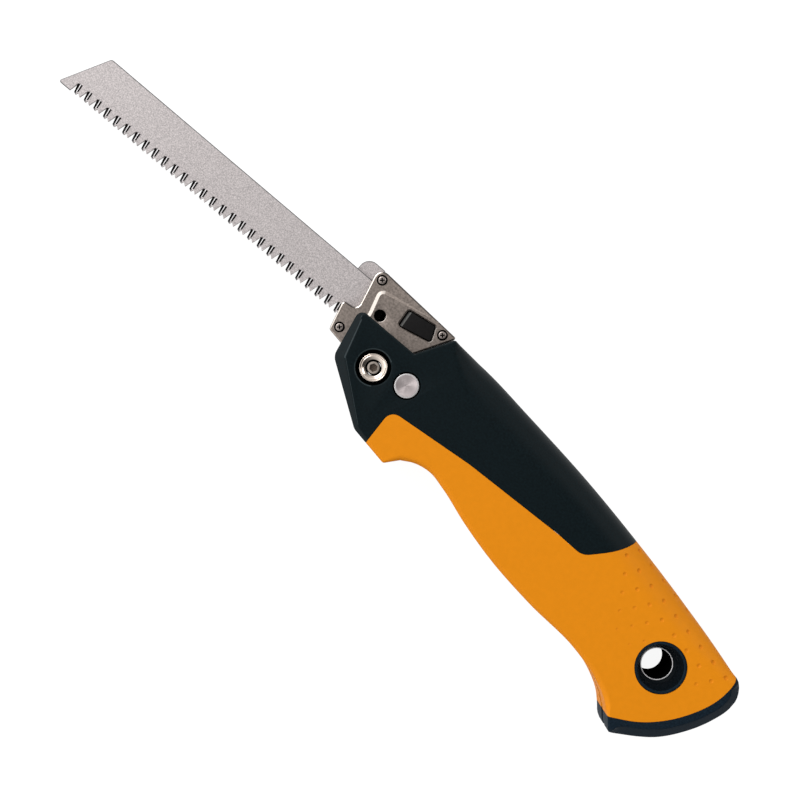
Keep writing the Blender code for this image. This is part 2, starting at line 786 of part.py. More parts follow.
def make_shell(name, side):
    rooms = rooms_of[side]
    shell = make_object(name, handle_mesh.copy())
    cut(shell, shell_limit)
    join(shell, tongue)
    keep(shell, rooms["half"])
    cut(shell, head_pocket, blade_slot, hang_bore, rooms["flange"], rooms["body"])
    cut(shell, pivot_bore, rooms["well"], washer_room, lock_bore)
    if side > 0:
        cut(shell, lock_well)
    for number, at in enumerate(SHELL_SCREWS, 1):
        cut(shell, *shell_screw_rooms(number, at, side))
    return finish(shell, BLACK_NYLON, handle)


def shell_screw_rooms(number, at, side):
    """Blind hole in the left shell, or through hole and head well in the right one."""
    name = f"shell_screw_room_{number}_{side}"
    radius = SHELL_SCREW_SHANK + GAP
    if side > 0:
        return [cylinder(name, radius, -GAP, SHELL_SCREW_REACH + GAP, at, 16)]
    floor = -HANDLE_HALF + SHELL_SCREW_SINK
    head = cylinder(f"{name}_head", SHELL_SCREW_HEAD + GAP, -FAR, floor, at, 24)
    return [cylinder(name, radius, -FAR, GAP, at, 16), head]


def make_grip(name, side):
    rooms = rooms_of[side]
    grip = make_object(name, handle_mesh.copy())
    keep(grip, grip_side)
    cut(grip, grip_limit, tongue_room)
    keep(grip, rooms["half"])
    cut(grip, head_pocket, blade_slot, hang_bore, rooms["flange"], rooms["body"])
    return finish(grip, ORANGE_GRIP, handle)


def make_cap():
    cap = make_object("butt_cap", handle_mesh.copy())
    keep(cap, cap_side)
    cut(cap, blade_slot)
    return finish(cap, BLACK_NYLON, handle)


def make_grommet(name, side):
    """Flanged liner of one side of the hang hole, with a stepped mouth on the left."""
    top = HANDLE_HALF - HANG_SINK
    flange_low = top - HANG_FLANGE_THICK
    bore = SLEEVE_RADIUS + GAP
    step_low = HANG_SLEEVE_TOP + GAP
    mouth = [
        (bore, step_low),
        (HANG_STEP_RADIUS, step_low + HANG_LIP),
        (HANG_STEP_RADIUS, flange_low - HANG_LIP),
        (HANG_MOUTH_RADIUS, top - HANG_LIP),
    ]
    profile = [
        (HANG_FLANGE_RADIUS - HANG_LIP, top),
        (HANG_FLANGE_RADIUS, top - HANG_LIP),
        (HANG_FLANGE_RADIUS, flange_low),
        (HANG_BODY_RADIUS, flange_low),
        (HANG_BODY_RADIUS, HANG_BODY_LOW),
        (LINER_RADIUS, HANG_BODY_LOW),
        (LINER_RADIUS, GAP / 2),
        (bore, GAP / 2),
    ]
    if side > 0:
        profile += mouth
    else:
        profile = [(radius, -height) for radius, height in reversed(profile + [(bore, top)])]
    return finish(turned(name, profile, HANG_AT), BLACK_NYLON, handle)


def make_pivot():
    """Flanged barrel, its bolt and nut, the bush and the two friction washers."""
    low = PIVOT_FLOOR + GAP
    top = low + FLANGE_THICK
    bore = BOLT_RADIUS + GAP
    rim = FLANGE_RADIUS - DISH_DEPTH
    sleeve = [
        (rim, top),
        (FLANGE_RADIUS, top - DISH_DEPTH / 2),
        (FLANGE_RADIUS, low),
        (BARREL_RADIUS, low),
        (BARREL_RADIUS, -PIVOT_FLOOR + GAP),
        (bore, -PIVOT_FLOOR + GAP),
        (bore, top - DISH_DEPTH),
        (rim - DISH_DEPTH, top - DISH_DEPTH / 2),
    ]
    finish(turned("pivot_sleeve", sleeve), POLISHED_STEEL, handle)
    bolt = cylinder("pivot_bolt", BOLT_RADIUS, -top + GAP, top - BOLT_SINK, sides=24)
    socket_floor = top - BOLT_SINK - SOCKET_DEPTH
    cut(bolt, cylinder("hex_socket", SOCKET_ACROSS / math.sqrt(3), socket_floor, FAR, sides=6))
    finish(bolt, POLISHED_STEEL, handle)
    finish(ring("pivot_nut", bore, FLANGE_RADIUS, -top, -low), POLISHED_STEEL, handle)
    bush_inside = BARREL_RADIUS + GAP
    finish(ring("pivot_bush", bush_inside, BUSH_RADIUS, -HOLDER_HALF, HOLDER_HALF), BUSH_BRONZE, handle)
    for name, side in (("left_washer", 1), ("right_washer", -1)):
        span = levels(side, WASHER_LOW, WASHER_LOW + WASHER_THICK)
        finish(ring(name, bush_inside, WASHER_RADIUS, *span), WASHER_NYLON, handle)


def make_lock():
    """Dished button with its hollow pin, the spring in the pin and the spring's seat."""
    top = HANDLE_HALF + LOCK_PROUD
    edge = LOCK_PROUD
    profile = [
        (0, top - LOCK_DISH),
        (LOCK_DISH_RADIUS, top - LOCK_DISH),
        (LOCK_RADIUS - 2 * edge, top),
        (LOCK_RADIUS - edge, top),
        (LOCK_RADIUS, top - edge),
        (LOCK_RADIUS, LOCK_HEAD_LOW),
        (LOCK_PIN_RADIUS, LOCK_HEAD_LOW),
        (LOCK_PIN_RADIUS, LOCK_PIN_END),
        (LOCK_BORE_RADIUS, LOCK_PIN_END),
        (LOCK_BORE_RADIUS, LOCK_BORE_TOP),
        (0, LOCK_BORE_TOP),
    ]
    finish(turned("lock_button", profile, LOCK_AT, closed=False), TURNED_STEEL, lock_press)
    seat_low = LOCK_SEAT_FLOOR + GAP
    seat_top = seat_low + LOCK_SEAT_THICK
    finish(cylinder("lock_seat", LOCK_PIN_RADIUS, seat_low, seat_top, LOCK_AT), SPRING_STEEL, handle)
    radius = LOCK_BORE_RADIUS - GAP - LOCK_WIRE / 2
    coil = (radius, seat_top + GAP, LOCK_BORE_TOP - GAP, LOCK_WIRE, LOCK_TURNS)
    finish(helix("lock_spring", LOCK_AT, *coil), SPRING_STEEL, handle)


def make_shell_screw(number, at):
    low = -HANDLE_HALF + SHELL_SCREW_SINK - GAP
    head_low = low - SHELL_SCREW_HEAD_THICK
    profile = [
        (0, SHELL_SCREW_REACH),
        (SHELL_SCREW_SHANK, SHELL_SCREW_REACH),
        (SHELL_SCREW_SHANK, low),
        (SHELL_SCREW_HEAD, low),
        (SHELL_SCREW_HEAD, head_low),
        (0, head_low),
    ]
    screw = turned(f"shell_screw_{number}", profile, at, closed=False, sides=16)
    cut(screw, *cross(f"shell_cross_{number}", at, -FAR, head_low + CROSS_DEPTH, SHELL_SCREW_HEAD))
    return finish(screw, SCREW_STEEL, handle)


def cross(name, at, low, high, head):
    """Two crossed bars that cut the recess of a screw with the given head radius."""
    x, y = at
    half = head * CROSS_SHARE
    thin = CROSS_WIDTH / 2
    bars = []
    for along, across in ((half, thin), (thin, half)):
        near = x - along, y - across
        far = x + along, y + across
        outline = [near, (far[0], near[1]), far, (near[0], far[1])]
        bars.append(prism(f"{name}_{len(bars)}", outline, low, high))
    return bars


def holder_screw_levels(rise):
    """Floor of the screw's ring, and the low and high side of its head."""
    floor = HOLDER_RIM + rise - HOLDER_SCREW_SINK
    return floor, floor + GAP, floor + GAP + HOLDER_SCREW_HEAD_THICK


def make_holder_screw(number, row):
    at = row[:2]
    _, low, top = holder_screw_levels(row[2])
    end = -HOLDER_HALF + HOLDER_SCREW_FLOOR
    profile = [
        (0, top),
        (HOLDER_SCREW_HEAD, top),
        (HOLDER_SCREW_HEAD, low),
        (HOLDER_SCREW_SHANK, low),
        (HOLDER_SCREW_SHANK, end),
        (0, end),
    ]
    screw = turned(f"holder_screw_{number}", profile, at, closed=False, sides=16)
    cut(screw, *cross(f"holder_cross_{number}", at, top - CROSS_DEPTH, FAR, HOLDER_SCREW_HEAD))
    return finish(screw, SCREW_STEEL, blade_holder)


def make_plate(name, side):
    """One die-cast half of the blade holder, before its own openings are cut."""
    plate = prism(name, holder_outline(), *levels(side, GAP / 2, HOLDER_HALF))
    rim = prism(f"{name}_rim", rim_outline(), *levels(side, HOLDER_RIM, FAR))
    bore = cylinder(f"{name}_bore", BUSH_RADIUS + GAP, -FAR, FAR)
    tang_room = prism(f"{name}_tang_room", tang_room_outline(), -TANG_ROOM, TANG_ROOM)
    return cut(plate, rim, bore, tang_room)


def make_left_plate():
    plate = make_plate("holder_left_plate", 1)
    window = prism("window", window_outline(0), 0, FAR)
    flange_room = prism("flange_room", window_outline(BUTTON_FLANGE + GAP), -GAP, BUTTON_FLANGE_TOP + GAP)
    view_hole = cylinder("view_hole", VIEW_HOLE_RADIUS, 0, FAR, VIEW_HOLE, 24)
    cut(plate, window, flange_room, view_hole)
    for number, row in enumerate(HOLDER_SCREWS, 1):
        floor = holder_screw_levels(row[2])[0]
        cut(plate, cylinder(f"screw_ring_{number}", HOLDER_SCREW_RING, floor, FAR, row[:2], 24))
        cut(plate, cylinder(f"screw_hole_{number}", HOLDER_SCREW_SHANK + GAP, -GAP, FAR, row[:2], 16))
    return finish(plate, NICKEL_CASTING, blade_holder)


def make_right_plate():
    plate = make_plate("holder_right_plate", -1)
    room_radius = RELEASE_SPRING_RADIUS + RELEASE_WIRE / 2 + GAP
    spring_room = cylinder("spring_room", room_radius, RELEASE_SEAT, GAP, middle_of(WINDOW), 24)
    tab_room = prism("tab_room", offset(tab_outline(), GAP), TAB_LOW - GAP, GAP)
    cut(plate, spring_room, tab_room)
    for number, row in enumerate(HOLDER_SCREWS, 1):
        end = -HOLDER_HALF + HOLDER_SCREW_FLOOR - GAP
        cut(plate, cylinder(f"screw_end_{number}", HOLDER_SCREW_SHANK + GAP, end, GAP, row[:2], 16))
    return finish(plate, NICKEL_CASTING, blade_holder)


def make_release():
    """Black button held by its flange under the window, and the spring below it."""
    button = prism("release_button", window_outline(BUTTON_FLANGE), BUTTON_FLANGE_LOW, BUTTON_FLANGE_TOP)
    body = prism("button_body", window_outline(-GAP), BUTTON_FLANGE_LOW + GAP, BUTTON_TOP)
    finish(join(button, body), BLACK_NYLON, release_press)
    coil = (RELEASE_SPRING_RADIUS, RELEASE_SEAT + GAP, BUTTON_FLANGE_LOW - GAP, RELEASE_WIRE, RELEASE_TURNS)
    finish(helix("release_spring", middle_of(WINDOW), *coil), SPRING_STEEL, blade_holder)


def make_blade():
    finish(prism("saw_blade", blade_outline(), -BLADE_THICK / 2, BLADE_THICK / 2), BLASTED_STEEL, blade)


def make_tab():
    tab = prism("thumb_tab", tab_outline(), TAB_LOW, TAB_HIGH)
    x, y, _ = HOLDER_SCREWS[0]
    cut(tab, cylinder("tab_hole", HOLDER_SCREW_SHANK + GAP, -FAR, FAR, (x, y), 16))
    return finish(tab, BLASTED_STEEL, blade_holder)


def lay_down():
    """Puts the origin under the middle of the saw's box, on the surface that it lies on."""
    bpy.context.view_layer.update()
    graph = bpy.context.evaluated_depsgraph_get()
    corners = []
    for made in saw_parts.objects:
        if made.type == "MESH":
            evaluated = made.evaluated_get(graph)
            corners += [evaluated.matrix_world @ Vector(corner) for corner in evaluated.bound_box]
    low = [min(corner[axis] for corner in corners) for axis in range(3)]
    high = [max(corner[axis] for corner in corners) for axis in range(3)]
    handle.location = (-(low[0] + high[0]) / 2, -(low[1] + high[1]) / 2, -low[2])
    print("pivot at", [round(value, 6) for value in handle.location])


make_shell("left_shell", 1)
make_shell("right_shell", -1)
make_grip("left_grip", 1)
make_grip("right_grip", -1)
make_cap()
make_grommet("left_grommet", 1)
make_grommet("right_grommet", -1)
sleeve_span = (-HANDLE_HALF + HANG_SINK, HANG_SLEEVE_TOP)
finish(ring("hang_sleeve", HANG_BORE_RADIUS, SLEEVE_RADIUS, *sleeve_span, HANG_AT), BLACK_NYLON, handle)
make_pivot()
make_lock()
for count, place in enumerate(SHELL_SCREWS, 1):
    make_shell_screw(count, place)
make_left_plate()
make_right_plate()
for count, place in enumerate(HOLDER_SCREWS, 1):
    make_holder_screw(count, place)
make_release()
make_tab()
make_blade()
lay_down()
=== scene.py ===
"""Looks of the folding saw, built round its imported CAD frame, in metres.

Shapes are drawn about the pivot: +X to the butt, +Y to the back, +Z to the left side.
"""

import json
import math

import bmesh
import bpy
from mathutils import Matrix, Vector
from mathutils.bvhtree import BVHTree
from mathutils.kdtree import KDTree


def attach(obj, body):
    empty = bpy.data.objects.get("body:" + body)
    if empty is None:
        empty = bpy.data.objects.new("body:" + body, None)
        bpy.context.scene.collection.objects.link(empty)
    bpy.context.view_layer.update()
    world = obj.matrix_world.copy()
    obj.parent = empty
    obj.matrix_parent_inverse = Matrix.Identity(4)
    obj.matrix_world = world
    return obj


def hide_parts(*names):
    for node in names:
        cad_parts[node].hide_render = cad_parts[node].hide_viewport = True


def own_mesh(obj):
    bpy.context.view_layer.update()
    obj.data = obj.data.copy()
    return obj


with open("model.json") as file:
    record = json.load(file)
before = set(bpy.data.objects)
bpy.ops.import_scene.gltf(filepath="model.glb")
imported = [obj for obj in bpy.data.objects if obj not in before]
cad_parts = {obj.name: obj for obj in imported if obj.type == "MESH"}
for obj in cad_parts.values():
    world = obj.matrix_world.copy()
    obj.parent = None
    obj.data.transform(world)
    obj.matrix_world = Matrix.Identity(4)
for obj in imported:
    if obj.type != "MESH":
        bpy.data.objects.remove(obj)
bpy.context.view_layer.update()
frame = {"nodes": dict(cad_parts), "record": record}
record = frame["record"]
joints = {joint["name"]: joint for joint in record["behaviour"]["joints"]}
PIVOT = Vector(joints["blade_fold"]["pos_m"])
slot_of = {part["node"]: part["material_slot"] for part in record["subparts"]}
body_of = {node: body for body, nodes in record["behaviour"]["bodies"].items() for node in nodes}

# Fineness and seams
OUTLINE_STEP = 0.0016
EDGE_STEPS = 10
CORNER_STEPS = 8
ARC_STEPS = 4
TURNED_SIDES = 96
CYLINDER_SIDES = 64
COIL_POINTS = 24
COIL_ROUNDING = 4
CREASE = 0.05
SUPPORT = 0.0002
SEAM = 0.00012
RABBET = 0.0020
RABBET_END = 0.05
SPLIT = 0.00015
CLEAR = 0.0003
WELD = 1e-6
BEVEL_ANGLE = 35
FAR = 0.3

# Angles in degrees above which an edge stays sharp
SMOOTH = 30
SMOOTH_BEVELLED = 14
SMOOTH_GRIP = 19
SMOOTH_TURNED = 50
SMOOTH_BLADE = 10
SMOOTH_COIL = 60

# Parts of a unit normal that tell flat, sloping and upright faces apart
FLAT = 0.97
NEARLY_FLAT = 0.9
SLOPING = 0.7
UPRIGHT = 0.15
TO_BACK = 0.3
TO_FRONT = -0.25

# Handle form
HANDLE_HALF = 0.0125
EDGE_WALL = 0.0007
FRONT_CHAMFER = 0.0042
EAR_CHAMFER = 0.0027
JAW_CHAMFER = 0.0018
STOP_EDGE = 0.0011
BELLY_EDGE = 0.0022
BUTT_CHAMFER = 0.0045
SHARP_EDGE = 0.0006
EAR = (-0.0192, 0.0144)
EAR_RADIUS = 0.003
CREASE_BEHIND = (0.004, 0.0126)
CREASE_AREA = SUPPORT / 30
CHIN = (-0.0152, -0.0066)
JAW = (0.0100, -0.0234)
FRONT_RADIUS = 0.0055
FINGER_STOP = (0.0273, -0.0262)
STOP_RADIUS = 0.0014
SHOULDER_TOP = (0.0175, 0.0291)
SHOULDER_RADIUS = 0.0012
SHOULDER_ROOT = (0.0089, 0.0145)
BELLY = [
    (0.0318, -0.0210),
    (0.0370, -0.0182),
    (0.0440, -0.0170),
    (0.0519, -0.0186),
    (0.0670, -0.0234),
    (0.0839, -0.0276),
    (0.1070, -0.0309),
    (0.1329, -0.0329),
    (0.1468, -0.0366),
    (0.1550, -0.0409),
]
HEEL = [
    (0.1600, -0.0452, 0.0006),
    (0.1628, -0.0482, 0.0010),
    (0.1642, -0.0491, 0.0020),
    (0.1658, -0.0487, 0.0033),
]
BUTT = [
    (0.1690, -0.0471),
    (0.1742, -0.0438),
    (0.1803, -0.0391),
    (0.1877, -0.0300),
    (0.1931, -0.0198),
    (0.1956, -0.0110),
    (0.1956, -0.0077),
    (0.1945, -0.0044),
    (0.1932, -0.0024),
]
BACK = [
    (0.1911, -0.0007, 0.0042),
    (0.1867, 0.0007, 0.0055),
    (0.1744, 0.0045, 0.0090),
    (0.1563, 0.0092, 0.0120),
    (0.1260, 0.0158, 0.0130),
    (0.0949, 0.0214, 0.0130),
    (0.0593, 0.0260, 0.0140),
    (0.0359, 0.0286, 0.0140),
    (0.0260, 0.0290, 0.0085),
    (0.0205, 0.0291, 0.0045),
]
GRIP_LINE = [
    (0.0185, -0.0600, 0.0),
    (0.0162, -0.0083, 0.0045),
    (0.0537, -0.0044, 0.06),
    (0.0985, -0.0026, 0.02),
    (0.1106, -0.0029, 0.007),
    (0.1203, 0.0074, 0.06),
    (0.1440, 0.0465, 0.0),
]
CAP_LINE = [
    (0.1450, -0.0517),
    (0.1595, -0.0445),
    (0.1711, -0.0375),
    (0.1820, -0.0253),
    (0.1887, -0.0097),
    (0.1889, 0.0010),
    (0.1868, 0.0119),
]
GRIP_SKIN = 0.0048
CORE_TOP = HANDLE_HALF - GRIP_SKIN
EAR_INSIDE = 0.0054
POCKET_RIGHT = 0.02713
POCKET_TOP = 0.0077
POCKET_STEP = 0.0118
SLOT_SIDE = 0.0009
SLOT_TIP = -0.18903
SLOT_EDGE = 0.0048
SLOT_MOUTH = -0.0300

# Dimples of the grip: first one, the two steps of their grid, and the columns of each row
DIMPLE_AT = Vector((0.1280, 0.0134))
DIMPLE_ALONG = Vector((0.00759, -0.00143))
DIMPLE_ACROSS = Vector((-0.00372, -0.00473))
DIMPLE_ROWS = [(0, 5), (0, 9), (1, 9), (2, 9), (3, 9), (4, 6)]
DIMPLE_RADIUS = 0.0017
DIMPLE_DEPTH = 0.00038
DIMPLE_FADE = 0.15
# Rows next to the back whose dimples get the stronger painted shade
DIMPLE_DARK_ROWS = 2
DIMPLE_FACE = 1e-6
BALL_SIDES = 20
BALL_RINGS = 12

# Pivot and lock button
BARREL_RADIUS = 0.0040
BOLT_RADIUS = 0.0028
FLANGE_RADIUS = 0.0057
FLANGE_THICK = 0.0023
PIVOT_WELL_RADIUS = 0.0070
PIVOT_WELL_DEPTH = 0.0035
SOCKET_ACROSS = 0.0030
SOCKET_DEPTH = 0.0025
BOLT_SINK = 0.0012
BOLT_RAISE = 0.0005
BARREL_SHORT = 0.0006
PIVOT_EDGE = 0.0004
WELL_FLARE = 0.0006
DISH_DEPTH = 0.0008
# Rings of the flange: edge widths in from its rim, and share of the dish's depth
FLANGE_RINGS = [(3.2, 0.55), (2.6, 0.30), (2.1, 0.42), (1.5, 0.10)]
LOCK_AT = (0.0147, 0.0030)
LOCK_RADIUS = 0.0049
LOCK_PROUD = 0.0003
LOCK_GAP = 0.0006
WELL_SHADE_FROM = 0.0005
LOCK_DISH = 0.0003
LOCK_DISH_STEPS = 8
LOCK_RIM = 0.0003
LOCK_FLARE = 0.00025
LOCK_BORE_LOW = -FAR / 30
LOCK_PIN_RADIUS = 0.0032
LOCK_BORE_RADIUS = 0.0024
LOCK_WELL_FLOOR = 0.0066
LOCK_HEAD_LOW = 0.0099
LOCK_PIN_END = -0.0057
LOCK_WIRE = 0.00055
LOCK_TURNS = 9
LOCK_SPRING = (-0.0098, 0.0051)

# Holder and release button
HOLDER_HALF = 0.0050
HOLDER_RIM = 0.0041
HOLDER_TOP_FRONT = (-0.0248, 0.0327)
HOLDER_TOP_RADIUS = 0.0035
HOLDER_FRONT_NOTCH = (-0.0203, 0.0136)
HOLDER_LOBE_TOP = (-0.0271, 0.0128)
HOLDER_LOBE_BOTTOM = (-0.0239, 0.0003)
HOLDER_LOBE_RADIUS = 0.0014
HOLDER_TOP_OVER = 0.0013
HOLDER_TOP_CORNER = 0.0007
HOLDER_NOTCH_RADIUS = 0.0024
HOLDER_BOTTOM = -0.0009
HOLDER_BOTTOM_START = -0.0166
HOLDER_REAR_CLEAR = 0.0005
HOLDER_BORE = 0.0056
TANG_RADIUS = 0.0103
TANG_STEPS = 36
TANG_ROOM_FRONT = 2 * HOLDER_LOBE_TOP[0]
TANG_ROOM = [(TANG_ROOM_FRONT, 0.0079), (-0.0096, 0.0079), (-0.0133, 0.0269), (TANG_ROOM_FRONT, 0.0269)]
TANG_ROOM_HALF = 0.000925
PAD_FRONT = [(-0.0143, -0.0002, 0.0), (-0.0151, 0.0151, 0.02), (-0.0182, 0.0256, 0.0024)]
PAD_SLOPE = 0.0007
RIM_END = (0.0100, 0.0315)
RIM_FADE = (-0.0060, 0.0340)
HOLDER_BEVEL = 0.0006
SPINE_FROM = 0.0300
OPENING_BEVEL = 0.0005
HOLDER_SCREWS = [(-0.0203, 0.0290, 0.0), (-0.0212, 0.0036, 0.0), (0.0124, 0.0278, 0.0009)]
SCREW_HEAD = 0.0016
SCREW_RING = 0.0022
SCREW_SHANK = 0.0010
SCREW_SINK = 0.0015
SCREW_HEAD_THICK = 0.0012
SCREW_EDGE = 0.00035
SCREW_RECESS = 0.0007
SCREW_SIDES = 48
SCREW_FLOOR = HOLDER_RIM - SCREW_SINK
SCREW_HEAD_LOW = SCREW_FLOOR + CLEAR
SCREW_HEAD_TOP = SCREW_HEAD_LOW + SCREW_HEAD_THICK
SCREW_END = -0.0033
CROSS_REACH = 0.62
CROSS_HALF = 0.17
CROSS_FOOT = 0.75
RECESS_DEEPEST = 0.002
ON_FACE = 1e-5
VIEW_HOLE = (-0.0117, 0.0175)
VIEW_HOLE_RADIUS = 0.0023
WINDOW = [(-0.0046, 0.0269), (-0.0039, 0.0192), (0.0107, 0.0225), (0.0081, 0.0289)]
WINDOW_RADIUS = 0.0011
WINDOW_CLEAR = 0.0003
BUTTON_TOP = 0.0049
BUTTON_LOW = 0.0019
BUTTON_FLANGE_TOP = 0.0029
BUTTON_FLANGE = 0.0005
BUTTON_BEVEL = 0.0002
FLANGE_ROOM = 0.0008
NICK_WIDE = 0.0017
NICK_LEDGE = 0.0008
NICK_DEPTH = 0.0012
NICK_RISE = 2
NICK_TILT = (0.5, 0.95)
NICK_FACING = 1.9
NICK_AREA = 1e-6
RELEASE_WIRE = 0.0005
RELEASE_SPRING_RADIUS = 0.0022
RELEASE_TURNS = 4
RELEASE_SPRING = (-0.0033, 0.0016)
SPRING_ROOM = 0.00275
SPRING_ROOM_LOW = -0.0036
OPENING_REACH = 0.00005
OPENING_TOP = 0.0001
OPENING_TILT = 0.5

# Blade and thumb tab
BLADE_HALF = 0.000625
BLADE_NOSE = (-0.17278, 0.0056)
BLADE_NOSE_RADIUS = 0.0008
BLADE_TOP_CORNER = (-0.1617, 0.0262)
BLADE_TOP_RADIUS = 0.0016
BLADE_CHAMFER = 0.00035
BLADE_SPINE_END = (-0.0246, 0.0266)
BLADE_NOSE_BOTTOM = (-0.1668, 0.0056)
TOOTH_LINE_START = (-0.1639, 0.0058)
TOOTH_LINE_END = (-0.0262, 0.0068)
TOOTH_PITCH = 0.00508
TANG = [(-0.0252, 0.0082), (-0.0099, 0.0082), (-0.0136, 0.0266)]
TANG_SHADE_FROM = -0.0165
TAB_LOW = -0.002525
TAB_HIGH = -TANG_ROOM_HALF
TAB_BEVEL = 0.0003
TAB = [
    (-0.0314, 0.0245, 0.0010),
    (-0.0150, 0.0245, 0.0010),
    (-0.0150, 0.0310, 0.0010),
    (-0.0205, 0.0310, 0.0),
    (-0.0222, 0.0330, 0.0010),
    (-0.0314, 0.0330, 0.0045),
]

# Hang hole
HANG_AT = (0.1629, -0.0164)
HANG_BORE_RADIUS = 0.0062
HANG_SLEEVE_RADIUS = 0.0066
HANG_SLEEVE_TOP = 0.0052
HANG_LINER_RADIUS = 0.0074
HANG_BODY_RADIUS = 0.0090
HANG_BODY_LOW = 0.0030
HANG_FLANGE_RADIUS = 0.0104
HANG_FLANGE_THICK = 0.0028
HANG_SINK = 0.0002
HANG_TOP = HANDLE_HALF - HANG_SINK
HANG_LIP = 0.0007
HANG_STEP_RADIUS = 0.0078
HANG_MOUTH_RADIUS = 0.0092

# Light of the surround: its level at the horizon, and how that changes along a direction
HORIZON_LEVEL = 1.25
LEVEL_SLOPE = (-0.78, -0.36, -0.87)

# Floor, lamps as name, place, power and size, and camera from the pivot
FLOOR_SIZE = 3.0
FLOOR_DROP = 0.0002
FLOOR_TONE = 0.18
FLOOR_GLOW = 0.92
LAMPS = [("front_box", (-0.9, 0.3, 0.9), 6.0, 0.6), ("back_box", (0.5, 0.9, 0.7), 3.0, 0.6)]
CAMERA_AT = (0.0163, -0.0029, 0.45)
CAMERA_TURN = 40.5
CAMERA_LENS = 50.03
CAMERA_SENSOR = 36.0

# Shell screws
SHELL_SCREWS = [(0.0330, 0.0060), (0.0720, 0.0070), (0.1030, 0.0030)]
SHELL_SCREW_SINK = 0.0030
SHELL_SCREW_FLOOR = -HANDLE_HALF + SHELL_SCREW_SINK
SHELL_SCREW_HEAD = 0.0029
SHELL_SCREW_SHANK = 0.0016
SHELL_SCREW_THICK = 0.0024
SHELL_SCREW_LOW = SHELL_SCREW_FLOOR - SHELL_SCREW_THICK
SHELL_SCREW_REACH = 0.0070
SHELL_SCREW_EDGE = 0.0006
SHELL_SCREW_RECESS = 0.0011
SHELL_SCREW_FLARE = 0.0003

tools = []


def link(made):
    bpy.context.scene.collection.objects.link(made)
    return made


def solid(name, shape):
    """Object from a bmesh, in the pivot's frame."""
    mesh = bpy.data.meshes.new(name)
    shape.to_mesh(mesh)
    shape.free()
    return link(bpy.data.objects.new(name, mesh))


def tool(made):
    """A cutter, which is removed when the pieces are done."""
    tools.append(made)
    return made


def drop(*spares):
    for spare in spares:
        bpy.data.objects.remove(spare, do_unlink=True)


def cuts(*cutters):
    return [("DIFFERENCE", cutter) for cutter in cutters]


def square(right):
    """Outline of all up to a place along X."""
    return [(-FAR, -FAR), (right, -FAR), (right, FAR), (-FAR, FAR)]


def on_circle(at, radius, angle):
    return at[0] + radius * math.cos(angle), at[1] + radius * math.sin(angle)


def carve(name, base, *steps):
    """Piece made from a base by Boolean steps of operation and cutter."""
    made = link(bpy.data.objects.new(name, base.data.copy()))
    for operation, cutter in steps:
        modifier = made.modifiers.new(cutter.name, "BOOLEAN")
        modifier.operation = operation
        modifier.object = cutter
    return applied(made)


def applied(made):
    """Bakes an object's modifiers into its mesh."""
    bpy.context.view_layer.update()
    graph = bpy.context.evaluated_depsgraph_get()
    mesh = bpy.data.meshes.new_from_object(made.evaluated_get(graph))
    made.modifiers.clear()
    made.data = mesh
    return made


def bevelled(made, width, segments=2):
    """Rounds the sharp edges of a shape."""
    weld = made.modifiers.new("weld", "WELD")
    weld.merge_threshold = WELD
    bevel = made.modifiers.new("bevel", "BEVEL")
    bevel.width = width
    bevel.segments = segments
    bevel.use_clamp_overlap = False
    bevel.limit_method = "ANGLE"
    bevel.angle_limit = math.radians(BEVEL_ANGLE)
    return applied(made)


def dress(piece, node, finishes=None, smooth=SMOOTH):
    """Gives a piece its finishes, and lets it stand for a CAD node."""
    piece.data.materials.clear()
    for finish in finishes or [slot_of[node]]:
        piece.data.materials.append(MATERIALS[finish])
    piece.data.shade_smooth()
    piece.data.set_sharp_from_angle(angle=math.radians(smooth))
    piece.location = PIVOT
    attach(piece, body_of[node])
    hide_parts(node)
    return piece


def finish_faces(piece, finish, chosen):
    """Gives one of a piece's finishes to the faces that a test picks."""
    for face in piece.data.polygons:
        if chosen(face):
            face.material_index = finish


def spline(rows, step):
    """Rows along a smooth curve through the given rows, about one step apart."""
    rows = [Vector(row) for row in rows]
    spans = [(after.xy - before.xy).length for before, after in zip(rows, rows[1:])]
    slopes = [(after - before) / span for before, after, span in zip(rows, rows[1:], spans)]
    tangents = [slopes[0]]
    for first, second, near, far in zip(slopes, slopes[1:], spans, spans[1:]):
        tangents.append((first * far + second * near) / (near + far))
    tangents.append(slopes[-1])
    smooth = []
    for index, span in enumerate(spans):
        count = max(1, round(span / step))
        for part in range(count):
            t = part / count
            start = rows[index] * (2 * t**3 - 3 * t**2 + 1)
            leave = tangents[index] * (span * (t**3 - 2 * t**2 + t))
            end = rows[index + 1] * (3 * t**2 - 2 * t**3)
            arrive = tangents[index + 1] * (span * (t**3 - t**2))
            smooth.append(start + leave + end + arrive)
    smooth.append(rows[-1])
    return smooth


def fillet(before, corner, after, radius):
    """Points of the arc that rounds a corner."""
    corner = Vector(corner)
    towards_before = (Vector(before) - corner).normalized()
    towards_after = (Vector(after) - corner).normalized()
    half = towards_before.angle(towards_after) / 2
    reach = radius / math.tan(half)
    centre = corner + (towards_before + towards_after).normalized() * (radius / math.sin(half))
    start = corner + towards_before * reach - centre
    end = corner + towards_after * reach - centre
    turn = math.pi - 2 * half
    points = []
    for part in range(CORNER_STEPS + 1):
        t = part / CORNER_STEPS
        spoke = start * math.sin((1 - t) * turn) + end * math.sin(t * turn)
        points.append(centre + spoke / math.sin(turn))
    return points


def rounded(corners):
    """Closed outline from rows of x, y and corner radius."""
    outline = []
    for index, (x, y, radius) in enumerate(corners):
        before = corners[index - 1][:2]
        after = corners[(index + 1) % len(corners)][:2]
        if radius:
            outline.extend(fillet(before, (x, y), after, radius))
        else:
            outline.append(Vector((x, y)))
    return outline


